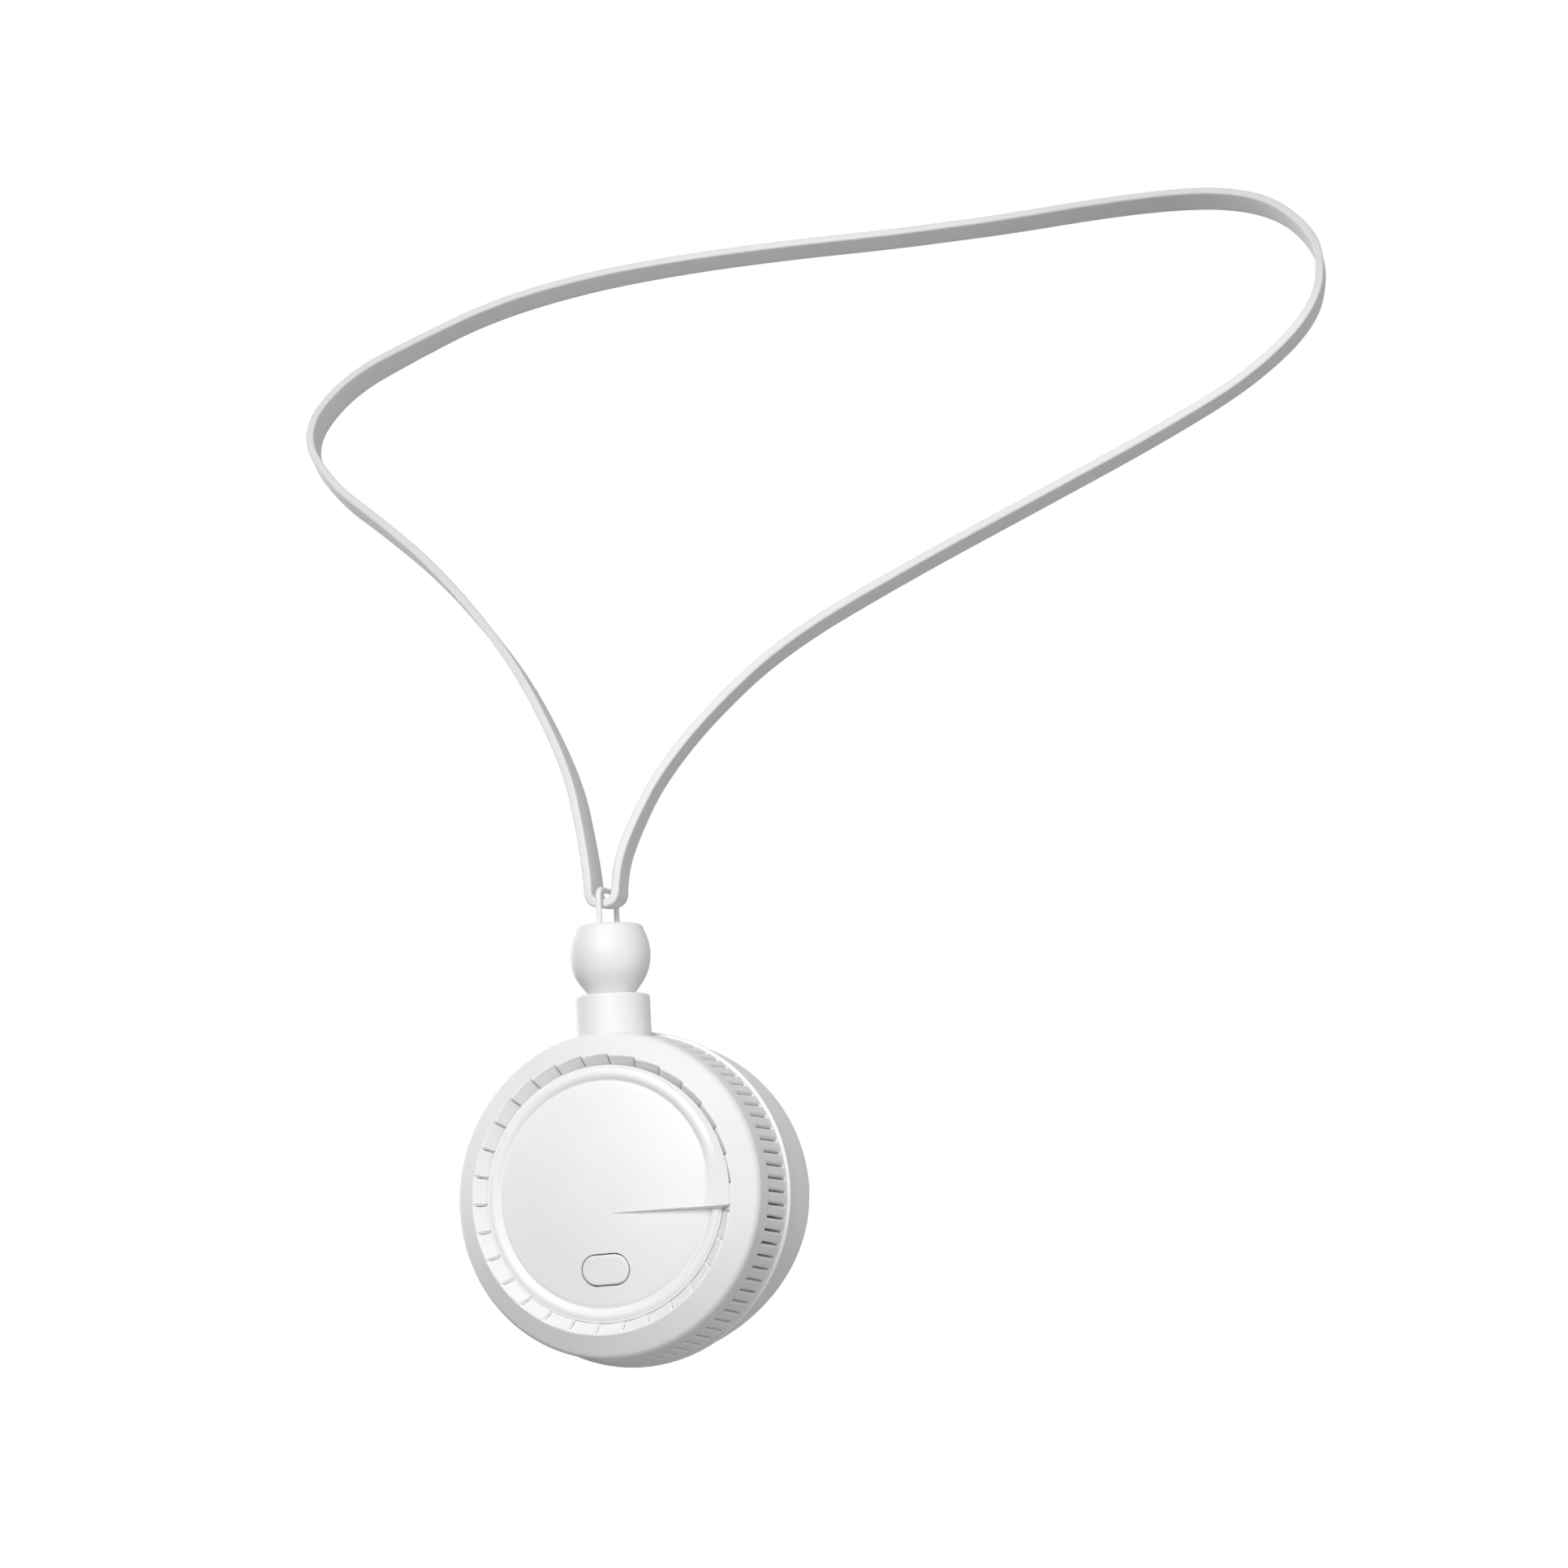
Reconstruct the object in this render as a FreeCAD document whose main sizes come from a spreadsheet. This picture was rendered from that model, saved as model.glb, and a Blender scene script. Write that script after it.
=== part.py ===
import FreeCAD, Part
import Sketcher
import math
import os

# Electric neck fan: a small drum-shaped fan hanging on a flat strap.
# Frame: millimetres, +Z up, the front of the drum looks towards -Y.
# Origin: the middle of the strap's inner face at the nape of the neck.
# Depths of the drum are counted from the plane of the bezel's crest backwards.

os.makedirs("parts", exist_ok=True)
document = FreeCAD.newDocument("neck_fan")

sizes = {
    # strap
    "strap_width": 6.3,
    "strap_thickness": 1.7,
    "strap_edge_round": 0.5,
    # bail on top of the bead
    "bail_wire": 1.1,
    "bail_gap": 0.6,
    "bail_rise": 2.6,
    "bail_bend": 1.6,
    "bail_leg_set": 4.0,
    # swivel bead
    "bead_drop": 4.4,
    "bead_height": 13.6,
    "bead_top_radius": 5.9,
    "bead_top_round": 1.0,
    "bead_belly_bulge": 1.0,
    "bead_shoulder_radius": 7.1,
    "bead_shoulder_drop": 10.0,
    "bead_foot_radius": 4.65,
    # swivel pin and collar
    "swivel_gap": 0.3,
    "pin_radius": 1.5,
    "pin_set": 6.0,
    "pin_head_radius": 3.0,
    "pin_head_height": 1.2,
    "pin_running_fit": 0.1,
    "pin_head_room": 0.5,
    "collar_radius": 7.45,
    "collar_rise": 7.7,
    "collar_plate": 1.6,
    "collar_edge_round": 0.6,
    "collar_fit": 0.05,
    "stub_radius": 3.8,
    "stub_fit": 0.05,
    "stub_root_set": 2.0,
    "neck_depth": 10.4,
    # front bezel
    "bezel_radius": 32.1,
    "bezel_slope_inset": 0.48,
    "bezel_slope_drop": 3.04,
    "bezel_side_drop": 0.96,
    "bezel_side": 0.6,
    "bezel_wall": 1.5,
    "bezel_pocket": 1.2,
    "crest_inset": 5.1,
    "crest_width": 0.6,
    "ledge_width": 1.5,
    "ledge_thickness": 0.6,
    # groove wall with the saw-tooth louvres
    "groove_width": 2.1,
    "groove_depth": 2.3,
    "louvre_step": 0.5,
    "louvre_slit_width": 0.4,
    "louvre_slit_length": 1.6,
    # spiral cover
    "cover_drop": 2.0,
    "cover_dome": 3.0,
    "cover_land": 3.0,
    "cover_fit": 0.12,
    "cover_overreach": 0.6,
    "cover_pole_x": 2.4,
    "cover_pole_drop": 4.0,
    "cover_hub_radius": 0.8,
    "cover_hub_proud": 0.06,
    "cover_post_radius": 1.5,
    # power button and its switch
    "button_length": 9.8,
    "button_width": 5.8,
    "button_proud": 0.25,
    "button_fit": 0.25,
    "button_flange": 1.0,
    "button_flange_thickness": 0.7,
    "button_travel": 0.5,
    "switch_clear": 0.1,
    "switch_side": 5.0,
    "switch_thickness": 1.4,
    "switch_plunger_radius": 1.5,
    "switch_plunger_height": 0.4,
    "switch_board_margin": 1.6,
    "switch_board_thickness": 0.8,
    "switch_screw_radius": 0.7,
    "switch_screw_length": 2.4,
    "switch_screw_head_radius": 1.2,
    "switch_screw_head": 0.4,
    "post_gap": 0.3,
    # main housing with the vent ribs
    "housing_inset": 0.1,
    "housing_flare": 0.5,
    "housing_wall": 3.4,
    "spigot_fit": 0.1,
    "spigot_length": 0.7,
    "vent_front_margin": 3.4,
    "vent_rear_margin": 0.8,
    "vent_slot_width": 0.4,
    # air parts
    "shroud_gap": 0.5,
    "shroud_thickness": 0.75,
    "shroud_eye_radius": 12.0,
    "impeller_gap": 1.2,
    "impeller_front_gap": 0.1,
    "impeller_cap": 0.6,
    "impeller_hub_wall": 0.8,
    "impeller_plate_lead": 1.4,
    "impeller_plate_thickness": 0.8,
    "blade_gap": 0.5,
    "blade_inner_radius": 13.0,
    "blade_short": 2.4,
    "blade_sweep": 10.0,
    "blade_thickness": 0.9,
    # motor
    "motor_stack": 6.9,
    "rotor_radius": 9.6,
    "rotor_wall": 0.7,
    "rotor_plate": 0.8,
    "rotor_lead": 0.5,
    "magnet_wall": 0.9,
    "magnet_gap": 0.2,
    "shaft_radius": 1.0,
    "shaft_overhang": 0.2,
    "shaft_fit": 0.03,
    "bearing_radius": 2.4,
    "bearing_gap": 0.6,
    "bearing_tube_wall": 1.0,
    "clip_radius": 2.0,
    "clip_gap": 0.3,
    "clip_thickness": 0.4,
    "stator_gap": 0.7,
    "stator_lead": 0.7,
    "stator_hub_wall": 1.0,
    "stator_tooth_width": 1.6,
    "stator_tip_width": 4.6,
    "stator_tip_length": 0.7,
    "air_gap": 0.3,
    "coil_wall": 0.8,
    "coil_end_wall": 0.3,
    "coil_length": 1.7,
    "lead_radius": 0.4,
    "lead_hole_radius": 0.6,
    "lead_ring_radius": 5.6,
    # mid frame
    "frame_thickness": 1.05,
    "frame_fit": 0.1,
    "frame_lip_fit": 0.1,
    "frame_lip_wall": 0.6,
    "frame_lip_length": 0.6,
    "frame_screw_inset": 1.0,
    "frame_screw_radius": 0.7,
    "frame_screw_length": 4.2,
    "frame_screw_head_radius": 1.1,
    "frame_screw_head": 0.8,
    "frame_screw_room": 0.2,
    "post_radius": 1.8,
    "post_inset": 4.4,
    "post_height": 1.35,
    # trim ring and rear shell
    "trim_proud": 1.1,
    "trim_seat": 1.0,
    "trim_width": 1.1,
    "trim_edge_round": 0.3,
    "rear_inset": 0.8,
    "rear_wall": 1.5,
    "rear_length": 14.7,
    "rear_edge_inset": 2.0,
    "rear_edge_length": 6.0,
    "rear_floor": 5.0,
    "rear_step": 3.1,
    "sweep_wall": 1.4,
    # board, port and battery
    "board_gap": 4.4,
    "board_thickness": 1.2,
    "board_screw_radius": 0.8,
    "board_screw_length": 2.2,
    "board_screw_head_radius": 1.6,
    "board_screw_head": 0.9,
    "chip_side": 5.0,
    "chip_thickness": 0.9,
    "chip_offset": 8.0,
    "socket_length": 8.94,
    "socket_width": 3.2,
    "socket_depth": 7.3,
    "socket_wall": 0.3,
    "socket_tongue": 0.7,
    "socket_tongue_length": 6.6,
    "socket_floor": 1.0,
    "socket_recess": 0.9,
    "socket_fit": 0.2,
    "lens_radius": 0.75,
    "lens_offset": 10.0,
    "lens_length": 6.0,
    "battery_gap": 1.3,
    "battery_edge_round": 1.2,
    "pad_margin": 4.5,
    "pad_thickness": 1.0,
    "wire_radius": 0.5,
    "wire_spread": 2.0,
    "wire_run": 3.0,
    # ribbon from the switch board to the main board
    "ribbon_width": 4.0,
    "ribbon_thickness": 0.4,
    "ribbon_gap": 0.1,
    "ribbon_room": 0.3,
}

louvre_count = 30
louvre_step_share = 0.05
rib_count = 78
blade_count = 15
stator_count = 6
lead_count = 3
screw_count = 4
spiral_sections = 41
spiral_points = 9
spiral_power = 6
spiral_step_share = 0.007
step_angle = -1.6
battery_length_share = 1.17
battery_height_share = 0.974
battery_lift_share = 0.146
button_place_share = 0.5944
sweep_share = 1.73

# Half of the strap's centre line, from the bend in the bail to the nape.
# The other half is its mirror image.
strap_route = [
    (0.0, -214.6, -172.0),
    (1.5, -214.6, -172.0),
    (2.7, -214.6, -170.8),
    (2.8, -214.5, -168.4),
    (3.5, -213.8, -163.3),
    (5.5, -211.2, -156.5),
    (9.2, -206.2, -146.5),
    (17.0, -198.0, -134.0),
    (29.0, -185.0, -119.2),
    (48.0, -161.0, -102.9),
    (69.0, -136.0, -86.7),
    (88.0, -118.0, -73.4),
    (105.0, -106.0, -61.5),
    (116.0, -96.0, -48.0),
    (113.0, -79.5, -33.5),
    (104.0, -61.0, -23.0),
    (92.0, -45.0, -13.3),
    (76.0, -29.0, -6.3),
    (58.0, -16.0, -2.2),
    (37.0, -5.5, 0.2),
    (13.5, 0.95, 0.95),
    (0.0, 0.95, 0.95),
]
strap_arc_share = 0.45

sheet = document.addObject("Spreadsheet::Sheet", "Sizes")


class Size:
    """A length that knows its number and the sheet formula behind it."""

    def __init__(self, number, formula):
        self.number = number
        self.formula = formula

    def __add__(self, other):
        other = as_size(other)
        return Size(self.number + other.number, "(" + self.formula + " + " + other.formula + ")")

    def __sub__(self, other):
        other = as_size(other)
        return Size(self.number - other.number, "(" + self.formula + " - " + other.formula + ")")

    def __mul__(self, factor):
        return Size(self.number * factor, "(" + self.formula + " * " + repr(factor) + ")")

    def __truediv__(self, factor):
        return Size(self.number / factor, "(" + self.formula + " / " + repr(factor) + ")")

    def __neg__(self):
        return Size(-self.number, "(0 - " + self.formula + ")")


def as_size(value):
    if isinstance(value, Size):
        return value
    return Size(value, repr(value))


size = {}
for row, (name, value) in enumerate(sizes.items(), start=1):
    sheet.set("A" + str(row), name)
    sheet.set("B" + str(row), str(value))
    sheet.setAlias("B" + str(row), name)
    size[name] = Size(value, "Sizes." + name)
document.recompute()


def bulged(across, along, bulge):
    """Radius of an arc over a chord, from the chord's two legs and the height of its bulge."""
    number = (across.number ** 2 + along.number ** 2 + 4 * bulge.number ** 2) / (8 * bulge.number)
    legs = across.formula + " ^ 2 + " + along.formula + " ^ 2"
    return Size(number, "((" + legs + " + 4 * " + bulge.formula + " ^ 2) / (8 * " + bulge.formula + "))")


def rounded_off(across, along):
    """Radius of an arc that ends upright, from its reach across and along."""
    number = (across.number ** 2 + along.number ** 2) / (2 * across.number)
    legs = across.formula + " ^ 2 + " + along.formula + " ^ 2"
    return Size(number, "((" + legs + ") / (2 * " + across.formula + "))")


# Sizes that follow from the bezel's radius, walls and clearances

size["bezel_slope_radius"] = size["bezel_radius"] - size["bezel_slope_inset"]
size["bezel_side_depth"] = size["bezel_slope_drop"] + size["bezel_side_drop"]
size["bezel_round"] = rounded_off(size["bezel_slope_inset"], size["bezel_side_drop"])
size["bezel_depth"] = size["bezel_side_depth"] + size["bezel_side"]
size["crest_radius"] = size["bezel_radius"] - size["crest_inset"]
size["groove_foot_radius"] = size["crest_radius"] - size["groove_width"]
size["ledge_radius"] = size["groove_foot_radius"] - size["ledge_width"]
size["cover_reach"] = size["crest_radius"] + size["cover_overreach"]
size["dome_reach"] = size["groove_foot_radius"] - size["cover_land"]
size["dome_radius"] = rounded_off(size["cover_dome"], size["dome_reach"])
size["dome_top"] = size["cover_drop"] - size["cover_dome"]
size["housing_rear_radius"] = size["bezel_radius"] - size["housing_inset"] + size["housing_flare"]
size["housing_radius"] = size["bezel_radius"] - size["housing_inset"]
size["housing_bore"] = size["housing_radius"] - size["housing_wall"]

# Behind the cover: the button, its switch and the air parts follow one another
ledge_front = size["bezel_depth"] - size["ledge_thickness"]
flange_front = ledge_front + size["button_fit"]
button_end = flange_front + size["button_flange_thickness"]
plunger_front = button_end + size["button_travel"] + size["switch_clear"]
switch_front = plunger_front + size["switch_plunger_height"]
switch_board_front = switch_front + size["switch_thickness"]
switch_board_back = switch_board_front + size["switch_board_thickness"]
size["button_drop"] = size["groove_foot_radius"] * button_place_share
size["shroud_depth"] = switch_board_back + size["switch_screw_head"] + size["shroud_gap"]
shroud_back = size["shroud_depth"] + size["shroud_thickness"]
size["housing_end"] = shroud_back + size["motor_stack"]
size["impeller_front"] = shroud_back + size["impeller_front_gap"]
size["blade_front"] = shroud_back + size["blade_gap"]
cap_back = size["impeller_front"] + size["impeller_cap"]
rotor_plate_back = cap_back + size["rotor_plate"]
magnet_front = rotor_plate_back + size["magnet_gap"]
size["rotor_end"] = size["housing_end"] - size["rotor_lead"]
size["magnet_length"] = size["rotor_end"] - size["magnet_gap"] - magnet_front
size["bearing_front"] = rotor_plate_back + size["bearing_gap"]
size["stator_front"] = rotor_plate_back + size["stator_gap"]
size["stator_thickness"] = size["housing_end"] - size["stator_lead"] - size["stator_front"]

# The housing, the ring and the rear shell
size["spigot_radius"] = size["bezel_radius"] - size["bezel_wall"] - size["spigot_fit"]
size["stub_root_radius"] = size["housing_radius"] - size["stub_root_set"]
size["trim_radius"] = size["housing_radius"] + size["trim_proud"]
size["trim_bore"] = size["housing_radius"] - size["trim_seat"]
size["rear_radius"] = size["trim_radius"] - size["rear_inset"]
size["rear_bore"] = size["rear_radius"] - size["rear_wall"]
size["rear_back_depth"] = size["housing_end"] + size["trim_width"] + size["rear_length"]
size["rear_floor_depth"] = size["rear_back_depth"] - size["rear_floor"]
size["sweep_radius"] = size["rear_radius"] * sweep_share
size["rear_edge_round"] = rounded_off(size["rear_edge_inset"], size["rear_edge_length"])
size["frame_radius"] = size["trim_bore"] - size["frame_fit"]
size["frame_lip_radius"] = size["rear_bore"] - size["frame_lip_fit"]
size["frame_screw_ring"] = size["housing_bore"] + size["frame_screw_inset"]
size["impeller_radius"] = size["housing_bore"] - size["impeller_gap"]
size["impeller_plate_depth"] = size["housing_end"] - size["impeller_plate_lead"]
size["blade_reach"] = size["impeller_radius"] - size["blade_short"]
size["clip_depth"] = size["housing_end"] + size["frame_thickness"] + size["clip_gap"]
size["shaft_end"] = size["clip_depth"] + size["clip_thickness"] + size["shaft_overhang"]
size["board_front"] = size["housing_end"] + size["frame_thickness"] + size["post_height"]
size["board_radius"] = size["rear_bore"] - size["board_gap"]
size["post_ring"] = size["board_radius"] - size["post_inset"]
size["post_spread"] = (size["button_length"] / 2 + size["button_flange"]
                       + size["cover_post_radius"] + size["post_gap"])
size["switch_board_length"] = (size["post_spread"] + size["switch_board_margin"]) * 2
size["switch_board_width"] = size["button_width"] + size["button_flange"] * 2 + size["post_gap"] * 2
size["battery_length"] = size["rear_bore"] * battery_length_share
size["battery_height"] = size["rear_bore"] * battery_height_share
size["battery_lift"] = size["rear_bore"] * battery_lift_share
size["battery_thickness"] = (size["rear_floor_depth"] - size["pad_thickness"] - size["board_front"]
                             - size["board_thickness"] - size["battery_gap"])
size["ribbon_radius"] = size["housing_bore"] - size["ribbon_gap"] - size["ribbon_thickness"] / 2
size["bead_belly_round"] = bulged(
    size["bead_top_radius"] + size["bead_top_round"] - size["bead_shoulder_radius"],
    size["bead_shoulder_drop"] - size["bead_top_round"], size["bead_belly_bulge"])

# Helpers for sketches, bodies and simple solids

finished = {}


def keep(label, thing):
    """Gives a finished piece its name."""
    thing.Label = label
    finished[label] = thing
    return thing


def plane_of(body, role):
    for feature in body.Origin.OriginFeatures:
        if feature.Role == role:
            return feature
    raise ValueError("no plane " + role)


def new_sketch(body, role, offset=0):
    sketch = body.newObject("Sketcher::SketchObject", "Sketch")
    sketch.AttachmentSupport = (plane_of(body, role), [""])
    sketch.MapMode = "FlatFace"
    if isinstance(offset, Size):
        sketch.AttachmentOffset = FreeCAD.Placement(
            FreeCAD.Vector(0, 0, offset.number), FreeCAD.Rotation())
        sketch.setExpression("AttachmentOffset.Base.z", offset.formula)
    return sketch


def fix_point(sketch, edge, end, across, along):
    """Ties one end of an edge to its coordinates in the sheet."""
    for kind, axis, wanted in (("DistanceX", -2, across), ("DistanceY", -1, along)):
        wanted = as_size(wanted)
        if wanted.formula == "0":
            sketch.addConstraint(Sketcher.Constraint("PointOnObject", edge, end, axis))
            continue
        if wanted.number < 0:
            rule = Sketcher.Constraint(kind, edge, end, -1, 1, -wanted.number)
            formula = "0 - " + wanted.formula
        else:
            rule = Sketcher.Constraint(kind, -1, 1, edge, end, wanted.number)
            formula = wanted.formula
        index = sketch.addConstraint(rule)
        sketch.setExpression("Constraints[" + str(index) + "]", formula)


def draw_outline(sketch, corners, bends=None):
    """Closed outline; bends gives radius and side for the edges that are arcs."""
    bends = bends or {}
    numbers = [(as_size(across).number, as_size(along).number) for across, along in corners]
    count = len(corners)
    ends = []
    for index in range(count):
        start = FreeCAD.Vector(*numbers[index], 0)
        stop = FreeCAD.Vector(*numbers[(index + 1) % count], 0)
        if index not in bends:
            sketch.addGeometry(Part.LineSegment(start, stop), False)
            ends.append((1, 2))
            continue
        radius, side = bends[index]
        chord = stop - start
        middle = (start + stop) * 0.5
        left = FreeCAD.Vector(-chord.y, chord.x, 0).normalize()
        rise = math.sqrt(radius.number ** 2 - chord.Length ** 2 / 4)
        centre = middle + left * (rise * side)
        first, last = (start, stop) if side > 0 else (stop, start)
        first_angle = math.atan2(first.y - centre.y, first.x - centre.x)
        last_angle = math.atan2(last.y - centre.y, last.x - centre.x)
        circle = Part.Circle(centre, FreeCAD.Vector(0, 0, 1), radius.number)
        sketch.addGeometry(Part.ArcOfCircle(circle, first_angle, last_angle), False)
        ends.append((1, 2) if side > 0 else (2, 1))
    for index in range(count):
        following = (index + 1) % count
        sketch.addConstraint(Sketcher.Constraint(
            "Coincident", index, ends[index][1], following, ends[following][0]))
    for index, (across, along) in enumerate(corners):
        fix_point(sketch, index, ends[index][0], across, along)
    for index, (radius, side) in bends.items():
        rule = sketch.addConstraint(Sketcher.Constraint("Radius", index, radius.number))
        sketch.setExpression("Constraints[" + str(rule) + "]", radius.formula)


def draw_circle(sketch, across, along, radius):
    centre = FreeCAD.Vector(as_size(across).number, as_size(along).number, 0)
    index = sketch.addGeometry(Part.Circle(centre, FreeCAD.Vector(0, 0, 1), radius.number), False)
    fix_point(sketch, index, 3, across, along)
    rule = sketch.addConstraint(Sketcher.Constraint("Radius", index, radius.number))
    sketch.setExpression("Constraints[" + str(rule) + "]", radius.formula)


def new_body(placement):
    body = document.addObject("PartDesign::Body", "Body")
    body.Placement = placement
    return body


def turned(body, corners, bends=None):
    """Full revolution of an outline given as radius and height."""
    sketch = new_sketch(body, "XZ_Plane")
    draw_outline(sketch, corners, bends)
    turn = body.newObject("PartDesign::Revolution", "Turn")
    turn.Profile = sketch
    turn.ReferenceAxis = (sketch, ["V_Axis"])
    turn.Angle = 360
    document.recompute()
    return turn


def padded(body, sketch, length, backwards=False):
    pad = body.newObject("PartDesign::Pad", "Pad")
    pad.Profile = sketch
    pad.setExpression("Length", length.formula)
    pad.Reversed = backwards
    document.recompute()
    return pad


def pocketed(body, sketch, length, backwards=False):
    """Cuts a sketch into the body and proves that it took something away."""
    before = body.Shape.Volume
    pocket = body.newObject("PartDesign::Pocket", "Pocket")
    pocket.Profile = sketch
    pocket.setExpression("Length", length.formula)
    pocket.Reversed = backwards
    document.recompute()
    if body.Shape.Volume >= before:
        raise ValueError("a pocket in " + body.Name + " removed nothing")
    return pocket


def repeated(body, feature, count):
    """Repeats a feature round the body's own Z axis."""
    pattern = body.newObject("PartDesign::PolarPattern", "Pattern")
    pattern.Originals = [feature]
    pattern.Axis = (plane_of(body, "Z_Axis"), [""])
    pattern.Angle = 360
    pattern.Occurrences = count
    body.Tip = pattern
    document.recompute()
    return pattern


def shifted(frame, across, along, up):
    """A placement moved inside the given frame."""
    numbers = [as_size(value).number for value in (across, along, up)]
    return frame.multiply(FreeCAD.Placement(FreeCAD.Vector(*numbers), FreeCAD.Rotation()))


def cylinder(radius, height, placement):
    thing = document.addObject("Part::Cylinder", "Cylinder")
    thing.setExpression("Radius", radius.formula)
    thing.setExpression("Height", height.formula)
    thing.Placement = placement
    return thing


def block(length, width, height, frame, across, along, up):
    """A box that is centred across and along, and starts at the given height."""
    thing = document.addObject("Part::Box", "Box")
    thing.setExpression("Length", length.formula)
    thing.setExpression("Width", width.formula)
    thing.setExpression("Height", height.formula)
    corner_across = as_size(across) - length / 2
    corner_along = as_size(along) - width / 2
    thing.Placement = shifted(frame, corner_across, corner_along, up)
    return thing


def joined(things):
    union = document.addObject("Part::MultiFuse", "Union")
    union.Shapes = things
    union.Refine = True
    document.recompute()
    return union


def without(base, tool):
    """Takes a tool away from a piece and proves that it did."""
    document.recompute()
    before = base.Shape.Volume
    cut = document.addObject("Part::Cut", "Cut")
    cut.Base = base
    cut.Tool = tool
    cut.Refine = True
    document.recompute()
    if cut.Shape.Volume >= before:
        raise ValueError("a cut from " + base.Name + " removed nothing")
    return cut


def stadium(length, width, height, frame, across, along, up):
    """A bar with round ends."""
    straight = length - width
    middle = block(straight, width, height, frame, across, along, up)
    caps = []
    for side in (-1, 1):
        end = as_size(across) + straight / 2 * side
        caps.append(cylinder(width / 2, height, shifted(frame, end, along, up)))
    return joined([middle] + caps)


def computed(shape, frame):
    """A piece whose shape follows a rule that no feature covers."""
    thing = document.addObject("Part::Feature", "Rule")
    thing.Shape = shape
    thing.Placement = frame
    return thing


def around(shape, count, radius, start=0.0):
    """Separate copies of a shape on a circle round the Z axis."""
    copies = []
    for index in range(count):
        copy = shape.copy()
        angle = start + 360.0 * index / count
        copy.translate(FreeCAD.Vector(radius, 0, 0))
        copy.rotate(FreeCAD.Vector(0, 0, 0), FreeCAD.Vector(0, 0, 1), angle)
        copies.append(copy)
    return Part.makeCompound(copies)


def screw(head_radius, head, radius, length, seat):
    """A screw whose head stands behind the seat and whose shank goes to the front."""
    cap = Part.makeCylinder(head_radius.number, head.number, FreeCAD.Vector(0, 0, seat.number))
    tip = FreeCAD.Vector(0, 0, seat.number - length.number)
    shank = Part.makeCylinder(radius.number, length.number, tip)
    return cap.fuse(shank).removeSplitter()


# Stations along the neck and the frame of the drum

bail_place = FreeCAD.Vector(*strap_route[0])
bead_foot_drop = size["bead_drop"] + size["bead_height"]
collar_top_drop = bead_foot_drop + size["swivel_gap"]
collar_height = size["bezel_radius"] + size["collar_rise"]
axis_drop = collar_top_drop + collar_height


def on_neck(drop):
    """An upright frame on the neck's axis, a given drop below the strap's bend."""
    return FreeCAD.Placement(bail_place - FreeCAD.Vector(0, 0, drop.number), FreeCAD.Rotation())


# The drum's own frame: Z runs backwards into the drum, Y points down and X stays as it is.
drum = FreeCAD.Placement(
    bail_place - FreeCAD.Vector(0, size["neck_depth"].number, axis_drop.number),
    FreeCAD.Rotation(FreeCAD.Vector(1, 0, 0), -90))

# Strap: straight runs with tangent arcs, a flat section swept along one half and mirrored


def strap_path(points):
    """One wire of runs and arcs; also gives its length and its smallest arc."""
    vectors = [FreeCAD.Vector(*point) for point in points]
    edges = []
    radii = []
    here = vectors[0]
    for before, corner, after in zip(vectors, vectors[1:], vectors[2:]):
        inward = (corner - before).normalize()
        outward = (after - corner).normalize()
        half_turn = inward.getAngle(outward) / 2
        shorter = min((corner - before).Length, (after - corner).Length)
        reach = strap_arc_share * shorter
        radii.append(reach / math.tan(half_turn))
        arc_start = corner - inward * reach
        arc_stop = corner + outward * reach
        bulge = reach * math.tan(half_turn / 2) * math.cos(half_turn)
        inner = (arc_start + arc_stop) * 0.5
        arc_middle = inner + (corner - inner).normalize() * bulge
        edges.append(Part.LineSegment(here, arc_start).toShape())
        edges.append(Part.Arc(arc_start, arc_middle, arc_stop).toShape())
        here = arc_stop
    edges.append(Part.LineSegment(here, vectors[-1]).toShape())
    return Part.Wire(edges), radii


def strap_section(width, thickness, edge_round, centre):
    """A flat section with rounded edges that stands across the X axis."""
    plate = Part.makeBox(
        thickness, width, thickness,
        FreeCAD.Vector(centre.x, centre.y - width / 2, centre.z - thickness / 2))
    long_edges = [edge for edge in plate.Edges if abs(edge.tangentAt(edge.FirstParameter).x) > 0.9]
    plate = plate.makeFillet(edge_round, long_edges)
    faces = [face for face in plate.Faces if abs(face.CenterOfMass.x - centre.x) < edge_round / 100]
    return faces[0].OuterWire


path, strap_radii = strap_path(strap_route)
section = strap_section(
    size["strap_width"].number, size["strap_thickness"].number,
    size["strap_edge_round"].number, bail_place)
sweep = Part.BRepOffsetAPI.MakePipeShell(path)
sweep.add(section)
sweep.build()
sweep.makeSolid()
half_strap = sweep.shape()
mirrored_half = half_strap.mirror(FreeCAD.Vector(0, 0, 0), FreeCAD.Vector(1, 0, 0))
strap_shape = half_strap.fuse(mirrored_half)
if len(strap_shape.Solids) == 1:
    strap_shape = strap_shape.Solids[0]
keep("neck_strap", computed(strap_shape, FreeCAD.Placement()))
section_area = Part.Face(section).Area
print("strap arc radii", [round(radius, 1) for radius in strap_radii])
print("strap length", round(2 * path.Length, 1))
print("strap volume against section times length",
      round(strap_shape.Volume / (section_area * 2 * path.Length), 4))

# Bail: a staple of wire with a flat top, rounded bends and two legs that are set into the bead

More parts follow.
